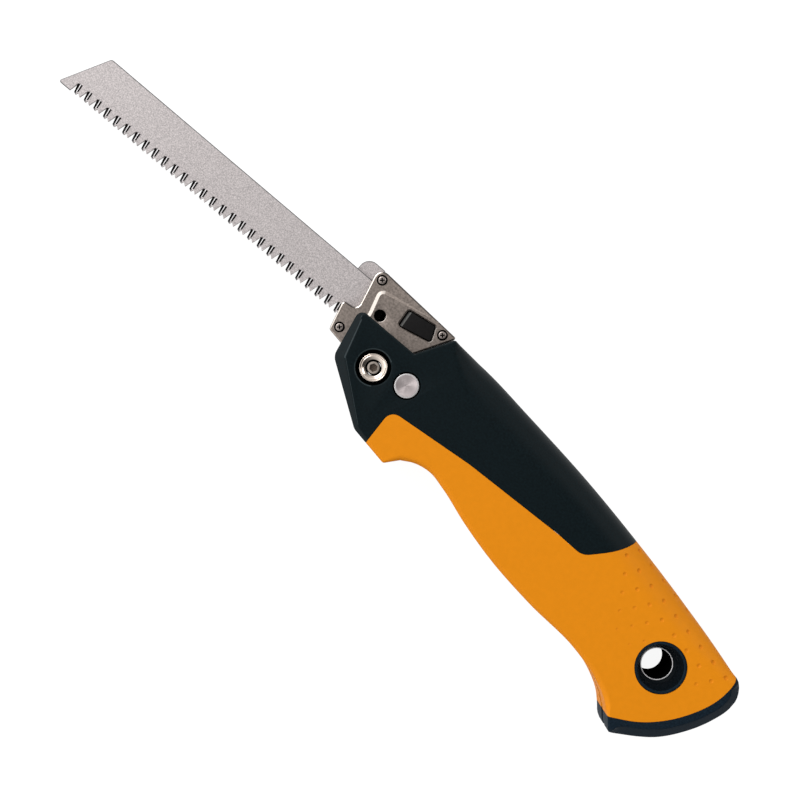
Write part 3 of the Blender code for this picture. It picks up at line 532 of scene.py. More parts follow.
def inward_normals(points):
    """Unit normals to the left of each point of a closed outline."""
    normals = []
    for index, point in enumerate(points):
        after = points[(index + 1) % len(points)]
        tangent = (after.xy - points[index - 1].xy).normalized()
        normals.append(Vector((-tangent.y, tangent.x)))
    return normals


def offset(points, distance):
    """A closed anticlockwise outline grown by a distance."""
    return [point.xy - normal * distance for point, normal in zip(points, inward_normals(points))]


def loft(name, rings):
    """Closed solid through rings of points, from the lowest ring to the highest."""
    shape = bmesh.new()
    made = [[shape.verts.new(point) for point in ring] for ring in rings]
    count = len(rings[0])
    for lower, upper in zip(made, made[1:]):
        for index in range(count):
            after = (index + 1) % count
            shape.faces.new((lower[index], lower[after], upper[after], upper[index]))
    shape.faces.new(made[0][::-1])
    shape.faces.new(made[-1])
    return solid(name, shape)


def level(outline, height):
    return [(point[0], point[1], height) for point in outline]


def prism(name, outline, low, high):
    return loft(name, [level(outline, low), level(outline, high)])


def turned(name, profile, at=(0, 0), sides=TURNED_SIDES):
    """Turned solid from rows of radius and height, with a closed profile or one that ends on the axis."""
    shape = bmesh.new()
    rings = []
    for radius, height in profile:
        if radius == 0:
            rings.append([shape.verts.new((at[0], at[1], height))])
            continue
        ring = []
        for side in range(sides):
            angle = 2 * math.pi * side / sides
            ring.append(shape.verts.new((*on_circle(at, radius, angle), height)))
        rings.append(ring)
    pairs = list(zip(rings, rings[1:]))
    if profile[0][0] > 0:
        pairs.append((rings[-1], rings[0]))
    for first, second in pairs:
        for side in range(sides):
            after = (side + 1) % sides
            corners = [first[side % len(first)], first[after % len(first)]]
            corners += [second[after % len(second)], second[side % len(second)]]
            shape.faces.new(list(dict.fromkeys(corners)))
    bmesh.ops.recalc_face_normals(shape, faces=shape.faces)
    return solid(name, shape)


def arc(centre_radius, centre_height, radius, start, end):
    """Rows of a rounded turned edge, between two angles in degrees."""
    rows = []
    for step in range(ARC_STEPS + 1):
        angle = math.radians(start + (end - start) * step / ARC_STEPS)
        rows.append(on_circle((centre_radius, centre_height), radius, angle))
    return rows


def cylinder(name, radius, low, high, at=(0, 0), sides=CYLINDER_SIDES):
    return turned(name, [(0, high), (radius, high), (radius, low), (0, low)], at, sides)


def flared(name, radius, low, top, flare, at=(0, 0)):
    """Cutter of a round well whose mouth is rounded where it meets a flat face."""
    mouth = arc(radius + flare, top - flare, flare, 180, 90)
    above = [(0, top + flare), (radius + flare, top + flare)]
    return turned(name, above + mouth[::-1] + [(radius, low), (0, low)], at)


def coil(name, at, radius, low, high, wire, turns):
    """Coil spring of round wire with its end turns closed."""
    count = turns * COIL_POINTS
    foot = low + wire / 2
    head = high - wire / 2
    curve = bpy.data.curves.new(name, "CURVE")
    curve.dimensions = "3D"
    curve.bevel_depth = wire / 2
    curve.bevel_resolution = COIL_ROUNDING
    curve.use_fill_caps = True
    line = curve.splines.new("POLY")
    line.points.add(count)
    for index, control in enumerate(line.points):
        angle = 2 * math.pi * index / COIL_POINTS
        height = foot + (head - foot) * index / count
        control.co = (*on_circle(at, radius, angle), height, 1)
    source = link(bpy.data.objects.new(name, curve))
    graph = bpy.context.evaluated_depsgraph_get()
    mesh = bpy.data.meshes.new_from_object(source.evaluated_get(graph))
    drop(source)
    return link(bpy.data.objects.new(name, mesh))


# Levels of a noise between which colour and roughness change, and its detail
COLOUR_LEVELS = (0.32, 0.68)
ROUGH_LEVELS = (0.3, 0.7)
NOISE_DETAIL = 3.0
GRAIN_DETAIL = 4.0

# Turned face of the lock button
TURNED_COLOUR = (0.645, 0.575, 0.575)
TURNED_CHANGE = (0.93, 1.06)
TURNED_ROUGH = (0.40, 0.48)
TURNED_NOISE = 900.0
TURNED_SHEEN = 0.75
TURNED_RINGS = {"scale": 14.0, "distortion": 0.6, "detail": 2.0}


class Nodes:
    """Short way to wire the nodes of one material."""

    def __init__(self, name):
        self.material = bpy.data.materials.new(name)
        self.material.use_nodes = True
        self.tree = self.material.node_tree
        self.shader = self.tree.nodes["Principled BSDF"]

    def add(self, kind, **settings):
        node = self.tree.nodes.new(kind)
        for key, value in settings.items():
            if hasattr(node, key):
                setattr(node, key, value)
            else:
                node.inputs[key.replace("_", " ").title()].default_value = value
        return node

    def wire(self, source, target):
        self.tree.links.new(source, target)

    def noise(self, scale, detail=NOISE_DETAIL):
        place = self.add("ShaderNodeTexCoord").outputs["Object"]
        noise = self.add("ShaderNodeTexNoise", scale=scale, detail=detail)
        self.wire(place, noise.inputs["Vector"])
        return noise.outputs["Fac"]

    def ramp(self, source, stops, target):
        """Colours by the level of a source, from two stops of level and colour."""
        ramp = self.add("ShaderNodeValToRGB")
        for element, (place, colour) in zip(ramp.color_ramp.elements, stops):
            element.position = place
            element.color = (*colour, 1)
        self.wire(source, ramp.inputs["Fac"])
        self.wire(ramp.outputs["Color"], target)

    def spread(self, source, low, high, target):
        """Numbers between two values by the level of a source."""
        spread = self.add("ShaderNodeMapRange")
        limits = zip(("From Min", "From Max", "To Min", "To Max"), (*ROUGH_LEVELS, low, high))
        for key, value in limits:
            spread.inputs[key].default_value = value
        self.wire(source, spread.inputs["Value"])
        self.wire(spread.outputs["Result"], target)

    def bump(self, source, height):
        bump = self.add("ShaderNodeBump")
        bump.inputs["Strength"].default_value = 1.0
        bump.inputs["Distance"].default_value = height
        self.wire(source, bump.inputs["Height"])
        self.wire(bump.outputs["Normal"], self.shader.inputs["Normal"])


def scaled(colour, factor):
    return tuple(part * factor for part in colour)


def make_material(name, colour, change, size, rough, metallic=0.0, specular=0.5, bump=0.0, bump_size=None):
    """Surface with a grain: colour that changes by a share, at a grain size, and roughness in a range."""
    nodes = Nodes(name)
    grain = nodes.noise(1 / size, GRAIN_DETAIL)
    stops = zip(COLOUR_LEVELS, (scaled(colour, 1 - change), scaled(colour, 1 + change)))
    nodes.ramp(grain, stops, nodes.shader.inputs["Base Color"])
    nodes.spread(grain, *rough, nodes.shader.inputs["Roughness"])
    nodes.shader.inputs["Metallic"].default_value = metallic
    nodes.shader.inputs["Specular IOR Level"].default_value = specular
    if bump:
        nodes.bump(nodes.noise(1 / (bump_size or size)), bump)
    return nodes.material


def make_turned_steel():
    """Fine turned face: rings about its axis and a sheen that runs round them."""
    nodes = Nodes("turned_steel")
    place = nodes.add("ShaderNodeTexCoord").outputs["Generated"]
    centred = nodes.add("ShaderNodeMapping")
    centred.inputs["Location"].default_value = (-0.5, -0.5, 0)
    nodes.wire(place, centred.inputs["Vector"])
    rings = nodes.add("ShaderNodeTexWave", wave_type="RINGS", rings_direction="Z", **TURNED_RINGS)
    nodes.wire(centred.outputs["Vector"], rings.inputs["Vector"])
    stops = zip((0.0, 1.0), [scaled(TURNED_COLOUR, factor) for factor in TURNED_CHANGE])
    nodes.ramp(rings.outputs["Fac"], stops, nodes.shader.inputs["Base Color"])
    nodes.spread(nodes.noise(TURNED_NOISE), *TURNED_ROUGH, nodes.shader.inputs["Roughness"])
    nodes.shader.inputs["Metallic"].default_value = 1.0
    nodes.shader.inputs["Anisotropic"].default_value = TURNED_SHEEN
    tangent = nodes.add("ShaderNodeTangent", direction_type="RADIAL", axis="Z")
    nodes.wire(tangent.outputs["Tangent"], nodes.shader.inputs["Tangent"])
    return nodes.material


# Finishes: colour, its change along the grain, grain size, range of roughness, metal, gloss,
# bump height and bump size
FINISHES = {
    "black_nylon": ((0.0020, 0.0065, 0.0084), 0.35, 0.0007, (0.46, 0.56), 0.0, 0.11, 0.00001, 0.0005),
    "orange_grip": ((0.78, 0.253, 0.004), 0.02, 0.0022, (0.5, 0.6), 0.0, 0.12, 0.000006, 0.0007),
    "blasted_steel": ((0.490, 0.450, 0.447), 0.32, 0.0005, (0.5, 0.6), 0.35, 0.5, 0.000012, 0.0006),
    "nickel_casting": ((0.378, 0.320, 0.284), 0.22, 0.0008, (0.30, 0.40), 1.0, 0.5, 0.000008, 0.0005),
    "polished_steel": ((0.74, 0.645, 0.565), 0.05, 0.002, (0.10, 0.18), 1.0),
    "screw_steel": ((0.46, 0.40, 0.37), 0.08, 0.0006, (0.25, 0.38), 1.0, 0.5, 0.000006),
    "spring_steel": ((0.45, 0.45, 0.46), 0.06, 0.0006, (0.25, 0.35), 1.0),
    "washer_nylon": ((0.55, 0.53, 0.48), 0.05, 0.0012, (0.45, 0.55), 0.0, 0.5, 0.000008),
    "bush_bronze": ((0.42, 0.24, 0.09), 0.06, 0.0010, (0.30, 0.40), 1.0, 0.5, 0.000006),
    # painted shade: near-black for the shaded facets of the teeth and the tang under the holder
    "painted_shade_steel": ((0.005, 0.0042, 0.0042), 0.2, 0.0006, (0.40, 0.50), 0.0, 0.05),
    # painted highlight: lighter steel for the lit facets of the teeth and the lock button's rim
    "painted_highlight_steel": ((0.60, 0.58, 0.58), 0.06, 0.0006, (0.35, 0.45), 0.5),
    # painted shade: grey for the blade's edge chamfer, one facet of each tooth and the thumb tab's edges
    "painted_edge_shade": ((0.10, 0.098, 0.10), 0.15, 0.0006, (0.4, 0.5), 0.0, 0.2),
    # painted highlight: near-white for the rim of the hang sleeve
    "painted_highlight_rim": ((0.93, 0.91, 0.92), 0.04, 0.0006, (0.18, 0.25), 0.15),
    # painted shade: near-black for the insides of wells, holes, recesses and gaps
    "painted_recess_shade": ((0.0020, 0.0020, 0.0022), 0.2, 0.0006, (0.55, 0.65), 0.0, 0.0),
    # painted highlight: lighter nickel for the holder's sloping bevels that face the front
    "painted_front_highlight": ((0.60, 0.545, 0.50), 0.08, 0.0006, (0.25, 0.35), 1.0),
    "shaded_edge": ((0.08, 0.070, 0.064), 0.1, 0.0006, (0.35, 0.45), 0.8),
    "socket_shade": ((0.22, 0.17, 0.135), 0.25, 0.0006, (0.35, 0.45), 0.5),
    "button_black": ((0.0085, 0.0078, 0.0080), 0.14, 0.0009, (0.46, 0.56), 0.0, 0.1, 0.000008),
    # painted highlight: grey for the release button's front slope
    "button_slope_highlight": ((0.12, 0.12, 0.115), 0.14, 0.0006, (0.40, 0.50), 0.0, 0.3),
    "cap_black": ((0.0085, 0.0165, 0.0255), 0.3, 0.0007, (0.46, 0.56), 0.0, 0.03, 0.00001, 0.0005),
    # painted shade: darker black for the hang hole's liner below its lip
    "funnel_painted_shade": ((0.0030, 0.0052, 0.0075), 0.25, 0.0007, (0.46, 0.56), 0.0, 0.05),
    # painted highlight: lighter black for the strip along the ears' crease
    "crease_painted_highlight": ((0.022, 0.033, 0.037), 0.2, 0.0007, (0.40, 0.50), 0.0, 0.2),
    # painted shade down in the dimples: stronger near the back, weaker further in
    "dimple_shade": ((0.70, 0.210, 0.004), 0.03, 0.0012, (0.5, 0.6), 0.0, 0.12),
    "dimple_faint_shade": ((0.74, 0.232, 0.004), 0.03, 0.0012, (0.5, 0.6), 0.0, 0.12),
}
MATERIALS = {name: make_material(name, *row) for name, row in FINISHES.items()}
MATERIALS["turned_steel"] = make_turned_steel()


def smooth_side():
    """Rows of x, y, edge width and bulge along the belly, the butt and the back."""
    rows = [(x, y, BELLY_EDGE, 1.0) for x, y in BELLY]
    rows += [(x, y, edge, 0.0) for x, y, edge in HEEL]
    rows += [(x, y, BUTT_CHAMFER, 0.0) for x, y in BUTT]
    rows += [(x, y, edge, 1.0) for x, y, edge in BACK]
    far = max(x for x, _ in BUTT)
    low = min(y for _, y, _ in HEEL)
    smooth = spline(rows, OUTLINE_STEP)
    return [Vector((min(x, far), max(y, low), edge, bulge)) for x, y, edge, bulge in smooth]


def handle_rows():
    """Rows of x, y, edge width and bulge all round the handle, anticlockwise."""
    rows = []
    for part, point in enumerate(fillet(SHOULDER_ROOT, EAR, CHIN, EAR_RADIUS)):
        edge = SHARP_EDGE + (EAR_CHAMFER - SHARP_EDGE) * part / CORNER_STEPS
        rows.append(Vector((*point, edge, 0.0)))
    front = ((EAR, CHIN, JAW, FRONT_CHAMFER), (CHIN, JAW, FINGER_STOP, JAW_CHAMFER))
    for before, corner, after, edge in front:
        for point in fillet(before, corner, after, FRONT_RADIUS):
            rows.append(Vector((*point, edge, 0.0)))
    for point in fillet(JAW, FINGER_STOP, BELLY[0], STOP_RADIUS):
        rows.append(Vector((*point, STOP_EDGE, 1.0)))
    rows += smooth_side()
    for point in fillet(BACK[-1][:2], SHOULDER_TOP, SHOULDER_ROOT, SHOULDER_RADIUS):
        rows.append(Vector((*point, SHARP_EDGE, 0.0)))
    rows.append(Vector((*SHOULDER_ROOT, SHARP_EDGE, 0.0)))
    return rows


def edge_point(row, normal, step):
    """Point on the rounded or chamfered edge, from the side wall to the flat face and just past it."""
    width = row[2]
    fall = min(width, HANDLE_HALF - EDGE_WALL)
    bulge = row[3]
    turn = min(step / EDGE_STEPS, 1) * math.pi / 2
    straight = min(step / (EDGE_STEPS - 1), 1) * (1 - CREASE)
    across = straight if step < EDGE_STEPS else 1 + CREASE
    up = straight if step < EDGE_STEPS else 1
    inset = width * (bulge * (1 - math.cos(turn)) + (1 - bulge) * across)
    rise = fall * (bulge * math.sin(turn) + (1 - bulge) * up)
    if step > EDGE_STEPS:
        inset += SUPPORT
    place = row.xy + normal * inset
    return Vector((place.x, place.y, HANDLE_HALF - fall + rise))


def handle_form():
    """The whole handle, lofted from one flat face round its edges to the other."""
    rows = handle_rows()
    normals = inward_normals(rows)
    upper = []
    for step in range(EDGE_STEPS + 2):
        upper.append([edge_point(row, normal, step) for row, normal in zip(rows, normals)])
    lower = [[(x, y, -z) for x, y, z in ring] for ring in reversed(upper)]
    return loft("handle_form", lower + upper)


def grip_zone(grow):
    """Outline of all that lies on the grip's side of its line."""
    start = GRIP_LINE[0]
    end = GRIP_LINE[-1]
    around = [(start[0], -FAR, 0.0), (FAR, -FAR, 0.0), (FAR, end[1], 0.0)]
    return offset(rounded(around + GRIP_LINE[::-1]), grow)


def cap_zone(grow):
    """Outline of all that lies on the cap's side of its line."""
    start = CAP_LINE[0]
    end = CAP_LINE[-1]
    around = [Vector((start[0], -FAR)), Vector((FAR, -FAR)), Vector((FAR, end[1]))]
    return offset(around + spline(CAP_LINE, OUTLINE_STEP)[::-1], grow)


def slot_outline():
    """Room of the folded blade, open at the belly."""
    fold = Matrix.Rotation(math.radians(joints["blade_fold"]["range_deg"][1]), 2)
    corners = [(SLOT_TIP, SLOT_EDGE), (0, SLOT_EDGE), (0, FAR), (SLOT_MOUTH, FAR)]
    return [fold @ Vector(corner) for corner in corners]


def pocket_outline():
    """Room between the ears, which the holder folds into."""
    root = Vector(SHOULDER_ROOT) - Vector((CLEAR, CLEAR))
    edge = [(POCKET_RIGHT, -FAR), (POCKET_RIGHT, POCKET_TOP), (POCKET_STEP, POCKET_TOP)]
    return [(-FAR, -FAR), *edge, tuple(root), (root.x, FAR), (-FAR, FAR)]


form = tool(handle_form())
blade_slot = tool(prism("blade_slot", slot_outline(), -BLADE_HALF - SLOT_SIDE, BLADE_HALF + SLOT_SIDE))
head_pocket = tool(prism("head_pocket", pocket_outline(), -EAR_INSIDE, EAR_INSIDE))


def side_tools(name, side):
    """Cutters of one half: the half itself, the pivot well and the hang hole's rooms."""
    span = sorted((side * SPLIT, side * FAR))
    half = tool(prism(f"{name}_half", square(FAR), *span))
    well_floor = HANDLE_HALF - PIVOT_WELL_DEPTH
    well = tool(flared(f"{name}_well", PIVOT_WELL_RADIUS, well_floor, HANDLE_HALF, WELL_FLARE))
    flange_floor = HANG_TOP - HANG_FLANGE_THICK - SEAM
    flange = tool(cylinder(f"{name}_flange", HANG_FLANGE_RADIUS + SEAM, flange_floor, FAR, HANG_AT))
    body = tool(cylinder(f"{name}_body", HANG_BODY_RADIUS + SEAM, HANG_BODY_LOW - SEAM, FAR, HANG_AT))
    for cutter in (well, flange, body):
        if side < 0:
            mirror(cutter)
    bore = tool(cylinder(f"{name}_bore", HANG_LINER_RADIUS + SEAM, -FAR, FAR, HANG_AT))
    return half, well, flange, body, bore


def mirror(made):
    """Turns a shape over to the right side."""
    made.data.transform(Matrix.Diagonal((1, 1, -1, 1)))
    made.data.flip_normals()
    return made


def grip_block(name, grow, step):
    """All on the grip's side of its line, with a step inwards below its skin."""
    block = prism(f"{name}_skin", grip_zone(grow), -FAR, FAR)
    core = prism(f"{name}_core", grip_zone(grow - RABBET), -CORE_TOP - step, CORE_TOP + step)
    outer = prism(f"{name}_outer", grip_zone(grow + RABBET), -CORE_TOP - step, CORE_TOP + step)
    room = carve(f"{name}_room", outer, ("DIFFERENCE", core))
    front = prism(f"{name}_front", square(RABBET_END), -FAR, FAR)
    ledge = carve(f"{name}_ledge", room, ("INTERSECT", front))
    made = carve(name, block, ("DIFFERENCE", ledge))
    drop(block, core, outer, room, front, ledge)
    return tool(made)


shell_limit = grip_block("shell_limit", SEAM / 2, -SEAM / 2)
grip_side = grip_block("grip_side", -SEAM / 2, SEAM / 2)
cap_side = tool(prism("cap_side", cap_zone(-SEAM / 2), -FAR, FAR))
grip_end = tool(prism("grip_end", cap_zone(SEAM / 2), -FAR, FAR))
pivot_bore = tool(cylinder("pivot_bore", BARREL_RADIUS + SEAM, -FAR, FAR))
lock_room = LOCK_RADIUS + LOCK_GAP
lock_well = tool(flared("lock_well", lock_room, LOCK_WELL_FLOOR, HANDLE_HALF, LOCK_FLARE, LOCK_AT))
lock_bore = tool(cylinder("lock_bore", LOCK_PIN_RADIUS + CLEAR, LOCK_BORE_LOW, FAR, LOCK_AT))
rooms = {side: side_tools(name, side) for name, side in (("left", 1), ("right", -1))}


def make_shell(node, side):
    """Black half of the handle, with the lock's well on the left and the screws' wells on the right, painted
    shade down in the wells and a painted highlight along the ears' crease.
    """
    half, well, *_ = rooms[side]
    steps = [("DIFFERENCE", shell_limit), ("INTERSECT", half)]
    steps += cuts(head_pocket, blade_slot, pivot_bore, well, lock_bore)
    if side > 0:
        steps += cuts(lock_well)
    else:
        wide = SHELL_SCREW_HEAD + CLEAR
        for number, at in enumerate(SHELL_SCREWS, 1):
            sides = (-SHELL_SCREW_FLOOR, HANDLE_HALF, SHELL_SCREW_FLARE)
            steps += cuts(mirror(tool(flared(f"screw_well_{number}", wide, *sides, at))))
    made = carve(f"{node}_skin", form, *steps)
    dress(made, node, ["black_nylon", "painted_recess_shade", "crease_painted_highlight"])
    finish_faces(made, 1, in_well)
    finish_faces(made, 2, on_ear_crease)


def in_well(face):
    """True for the faces down in the wells of the pivot and the lock button, which get a painted shade."""
    if abs(face.center.z) > HANDLE_HALF - WELL_SHADE_FROM:
        return False
    rounds = [(Vector((0, 0)), PIVOT_WELL_RADIUS), (Vector(LOCK_AT), LOCK_RADIUS + LOCK_GAP)]
    return any((face.center.xy - centre).length < radius + SEAM for centre, radius in rounds)


def on_ear_crease(face):
    """True for the narrow strip along the front chamfer of the ears, which gets a painted highlight."""
    narrow = len(face.vertices) == 4 and face.area < CREASE_AREA
    in_front = face.center.x < CREASE_BEHIND[0] and face.center.y < CREASE_BEHIND[1]
    return narrow and in_front and abs(face.center.z) > HANDLE_HALF - SEAM


def dimple_centres(side):
    """Row and centre of each ball that makes one of a side's dimples, set on the grip's surface."""
    bpy.context.view_layer.update()
    tree = BVHTree.FromObject(form, bpy.context.evaluated_depsgraph_get())
    centres = []
    for row, (first, last) in enumerate(DIMPLE_ROWS):
        for column in range(first, last):
            at = DIMPLE_AT + DIMPLE_ALONG * column + DIMPLE_ACROSS * row
            if (at - Vector(HANG_AT)).length < HANG_FLANGE_RADIUS + DIMPLE_RADIUS:
                continue
            place, normal, _, _ = tree.ray_cast(Vector((*at, side * FAR)), Vector((0, 0, -side)))
            depth = DIMPLE_DEPTH * (1 - DIMPLE_FADE * row)
            centres.append((row, place + normal * (DIMPLE_RADIUS - depth)))
    return centres


def make_grip(node, side):
    """Grip of one side, with painted shade down in its dimples, fainter away from the back."""
    half, _, *hang_rooms = rooms[side]
    balls = bmesh.new()
    centres = dimple_centres(side)
    near = KDTree(len(centres))
    for index, (_, centre) in enumerate(centres):
        place = Matrix.Translation(centre)
        counts = {"u_segments": BALL_SIDES, "v_segments": BALL_RINGS}
        bmesh.ops.create_uvsphere(balls, **counts, radius=DIMPLE_RADIUS, matrix=place)
        near.insert(centre, index)
    near.balance()
    steps = cuts(tool(solid(f"{node}_dimples", balls)))
    steps += [("INTERSECT", grip_side), ("DIFFERENCE", grip_end), ("INTERSECT", half)]
    steps += cuts(head_pocket, blade_slot, *hang_rooms)
    made = carve(f"{node}_skin", form, *steps)
    dress(made, node, ["orange_grip", "dimple_shade", "dimple_faint_shade"], SMOOTH_GRIP)

    def in_dimple(face, dark):
        _, index, distance = near.find(face.center)
        if face.area > DIMPLE_FACE or distance > DIMPLE_RADIUS:
            return False
        return dark == (centres[index][0] < DIMPLE_DARK_ROWS)

    finish_faces(made, 1, lambda face: in_dimple(face, True))
    finish_faces(made, 2, lambda face: in_dimple(face, False))


def make_cap():
    made = carve("butt_cap_skin", form, ("INTERSECT", cap_side), ("DIFFERENCE", blade_slot))
    dress(made, "butt_cap", ["cap_black"])


def make_grommet(node, side):
    """Flanged liner of one side of the hang hole, with a stepped mouth on the left, and painted shade on the
    faces below its lip.
    """
    flange_low = HANG_TOP - HANG_FLANGE_THICK
    bore = HANG_SLEEVE_RADIUS + SEAM
    lip = HANG_LIP / 2
    rim = arc(HANG_FLANGE_RADIUS - lip, HANG_TOP - lip, lip, 90, 0)
    outside = [*rim, (HANG_FLANGE_RADIUS, flange_low), (HANG_BODY_RADIUS, flange_low)]
    outside += [(HANG_BODY_RADIUS, HANG_BODY_LOW), (HANG_LINER_RADIUS, HANG_BODY_LOW)]
    outside += [(HANG_LINER_RADIUS, SPLIT), (bore, SPLIT)]
    if side > 0:
        step_low = HANG_SLEEVE_TOP + SEAM
        inside = [(bore, step_low), (HANG_STEP_RADIUS, step_low + HANG_LIP)]
        inside.append((HANG_STEP_RADIUS, flange_low - HANG_LIP))
        inside += arc(HANG_MOUTH_RADIUS + lip, HANG_TOP - lip, lip, 180, 90)
    else:
        inside = arc(bore + lip, HANG_TOP - lip, lip, 180, 90)
    made = turned(f"{node}_ring", outside + inside, HANG_AT)
    dress(made if side > 0 else mirror(made), node, ["cap_black", "funnel_painted_shade"])
    finish_faces(made, 1, lambda face: abs(face.center.z) < HANG_TOP - HANG_LIP)


def make_sleeve():
    """Tube of the hang hole, black plastic darkened inside with painted shade, with a painted highlight on
    its rim.
    """
    wall = HANG_SLEEVE_RADIUS - HANG_BORE_RADIUS
    corner = wall / 5
    rim = arc(HANG_SLEEVE_RADIUS - corner, HANG_SLEEVE_TOP - corner, corner, 0, 90)
    rim += arc(HANG_BORE_RADIUS + corner, HANG_SLEEVE_TOP - corner, corner, 90, 180)
    profile = [(HANG_SLEEVE_RADIUS, -HANG_TOP), *rim, (HANG_BORE_RADIUS, -HANG_TOP)]
    made = turned("hang_sleeve_tube", profile, HANG_AT)
    dress(made, "hang_sleeve", ["painted_recess_shade", "painted_highlight_rim"])
    finish_faces(made, 1, lambda face: face.center.z > HANG_SLEEVE_TOP - wall)


def make_pivot():
    """Flanged barrel, bolt with a hex socket, and nut."""
    low = HANDLE_HALF - PIVOT_WELL_DEPTH + CLEAR
    top = low + FLANGE_THICK
    bore = BOLT_RADIUS + CLEAR
    edge = PIVOT_EDGE
    rim = arc(FLANGE_RADIUS - edge, top - edge, edge, 90, 0)
    sleeve = [
        *rim,
        (FLANGE_RADIUS, low),
        (BARREL_RADIUS, low),
        (BARREL_RADIUS, -low + BARREL_SHORT),
        (bore, -low + BARREL_SHORT),
        *arc(bore + edge / 2, top - DISH_DEPTH - edge / 2, edge / 2, 180, 90),
        *[(FLANGE_RADIUS - edges * edge, top - DISH_DEPTH * share) for edges, share in FLANGE_RINGS],
    ]
    made = turned("pivot_sleeve_turned", sleeve)
    dress(made, "pivot_sleeve", ["polished_steel", "painted_recess_shade"], SMOOTH_TURNED)
    # painted shade down the barrel's bore
    finish_faces(made, 1, lambda face: face.center.xy.length < bore + edge / 2)
    bolt_top = top - BOLT_SINK + BOLT_RAISE
    bolt_low = -top + CLEAR
    crown = arc(BOLT_RADIUS - edge, bolt_top - edge, edge, 90, 0)
    bolt = turned("pivot_bolt_turned", [(0, bolt_top), *crown, (BOLT_RADIUS, bolt_low), (0, bolt_low)])
    socket = tool(cylinder("socket", SOCKET_ACROSS / math.sqrt(3), bolt_top - SOCKET_DEPTH, FAR, sides=6))
    made = carve("pivot_bolt_socket", bolt, ("DIFFERENCE", socket))
    dress(made, "pivot_bolt", ["polished_steel", "socket_shade", "painted_recess_shade"])
    inner = BOLT_RADIUS - edge
    # painted shade in the socket, and on the bolt's rounded rim and side for the gap round it
    finish_faces(made, 1, lambda face: face.center.z < bolt_top - edge / 4 and face.center.xy.length < inner)
    finish_faces(made, 2, lambda face: face.center.xy.length > inner)
    drop(bolt)
    nut = [*rim, (FLANGE_RADIUS, low), (bore, low), *arc(bore + edge, top - edge, edge, 180, 90)]
    dress(mirror(turned("pivot_nut_turned", nut)), "pivot_nut", smooth=SMOOTH_TURNED)


def make_lock():
    """Dished button with its hollow lock pin, and a painted highlight on its rim."""
    top = HANDLE_HALF + LOCK_PROUD
    rim = LOCK_RIM
    flat_edge = LOCK_RADIUS - 2 * rim
    dish = [(0, top - LOCK_DISH)]
    for part in range(1, LOCK_DISH_STEPS + 1):
        radius = flat_edge * part / LOCK_DISH_STEPS
        dish.append((radius, top - LOCK_DISH * (1 - (part / LOCK_DISH_STEPS) ** 2)))
    profile = [
        *dish,
        *arc(LOCK_RADIUS - rim, top - rim, rim, 90, 0),
        (LOCK_RADIUS, LOCK_HEAD_LOW),
        (LOCK_PIN_RADIUS, LOCK_HEAD_LOW),
        (LOCK_PIN_RADIUS, LOCK_PIN_END),
        (LOCK_BORE_RADIUS, LOCK_PIN_END),
        (LOCK_BORE_RADIUS, EAR_INSIDE),
        (0, EAR_INSIDE),
    ]
    made = turned("lock_button_turned", profile, LOCK_AT)
    dress(made, "lock_button", ["turned_steel", "painted_highlight_steel"], SMOOTH_TURNED)

    def on_rim(face):
        return (face.center.xy - Vector(LOCK_AT)).length > flat_edge and face.center.z > top - rim

    finish_faces(made, 1, on_rim)


def cross_cutter(name, at, head, top, depth):
    """Cross recess with tapered arms."""
    arm = head * CROSS_REACH
    half = head * CROSS_HALF
    outline = []
    for turn in range(4):
        spin = Matrix.Rotation(turn * math.pi / 2 + math.pi / 4, 2)
        outline += [spin @ Vector((half, -half)), spin @ Vector((arm, -half)), spin @ Vector((arm, half))]
    points = [Vector(at) + point for point in outline]
    small = [Vector(at) + point * CROSS_FOOT for point in outline]
    return tool(loft(name, [level(small, top - depth), level(points, top), level(points, top + depth)]))


def make_screw(node, at, head, edge, heights, shank, depth):
    """Screw with its head upwards, from the heights of its top, the underside of its head and its end."""
    top, low, end = heights
    rim = arc(head - edge, top - edge, edge, 90, 0)
    profile = [(0, top), *rim, (head, low), (shank, low), (shank, end), (0, end)]
    blank = turned(f"{node}_blank", profile, at, SCREW_SIDES)
    recess = cross_cutter(f"{node}_recess", at, head, top, depth)
    made = dress(carve(f"{node}_turned", blank, *cuts(recess)), node, ["screw_steel", "painted_recess_shade"])

    def in_recess(face):
        near = (face.center.xy - Vector(at)).length < head - 2 * edge
        return near and top - RECESS_DEEPEST < face.center.z < top - ON_FACE

    # painted shade down in the cross recess
    finish_faces(made, 1, in_recess)
    drop(blank)
    return made


def make_screws():
    """The holder's screws, and those of the handle, which look out on the right side."""
    for number, (x, y, rise) in enumerate(HOLDER_SCREWS, 1):
        heights = (SCREW_HEAD_TOP + rise, SCREW_HEAD_LOW + rise, SCREW_END)
        sizes = (SCREW_HEAD, SCREW_EDGE, heights, SCREW_SHANK, SCREW_RECESS)
        make_screw(f"holder_screw_{number}", (x, y), *sizes)
    heights = (-SHELL_SCREW_LOW, -SHELL_SCREW_FLOOR + CLEAR, -SHELL_SCREW_REACH)
    sizes = (SHELL_SCREW_HEAD, SHELL_SCREW_EDGE, heights, SHELL_SCREW_SHANK, SHELL_SCREW_RECESS)
    for number, at in enumerate(SHELL_SCREWS, 1):
        mirror(make_screw(f"shell_screw_{number}", at, *sizes))


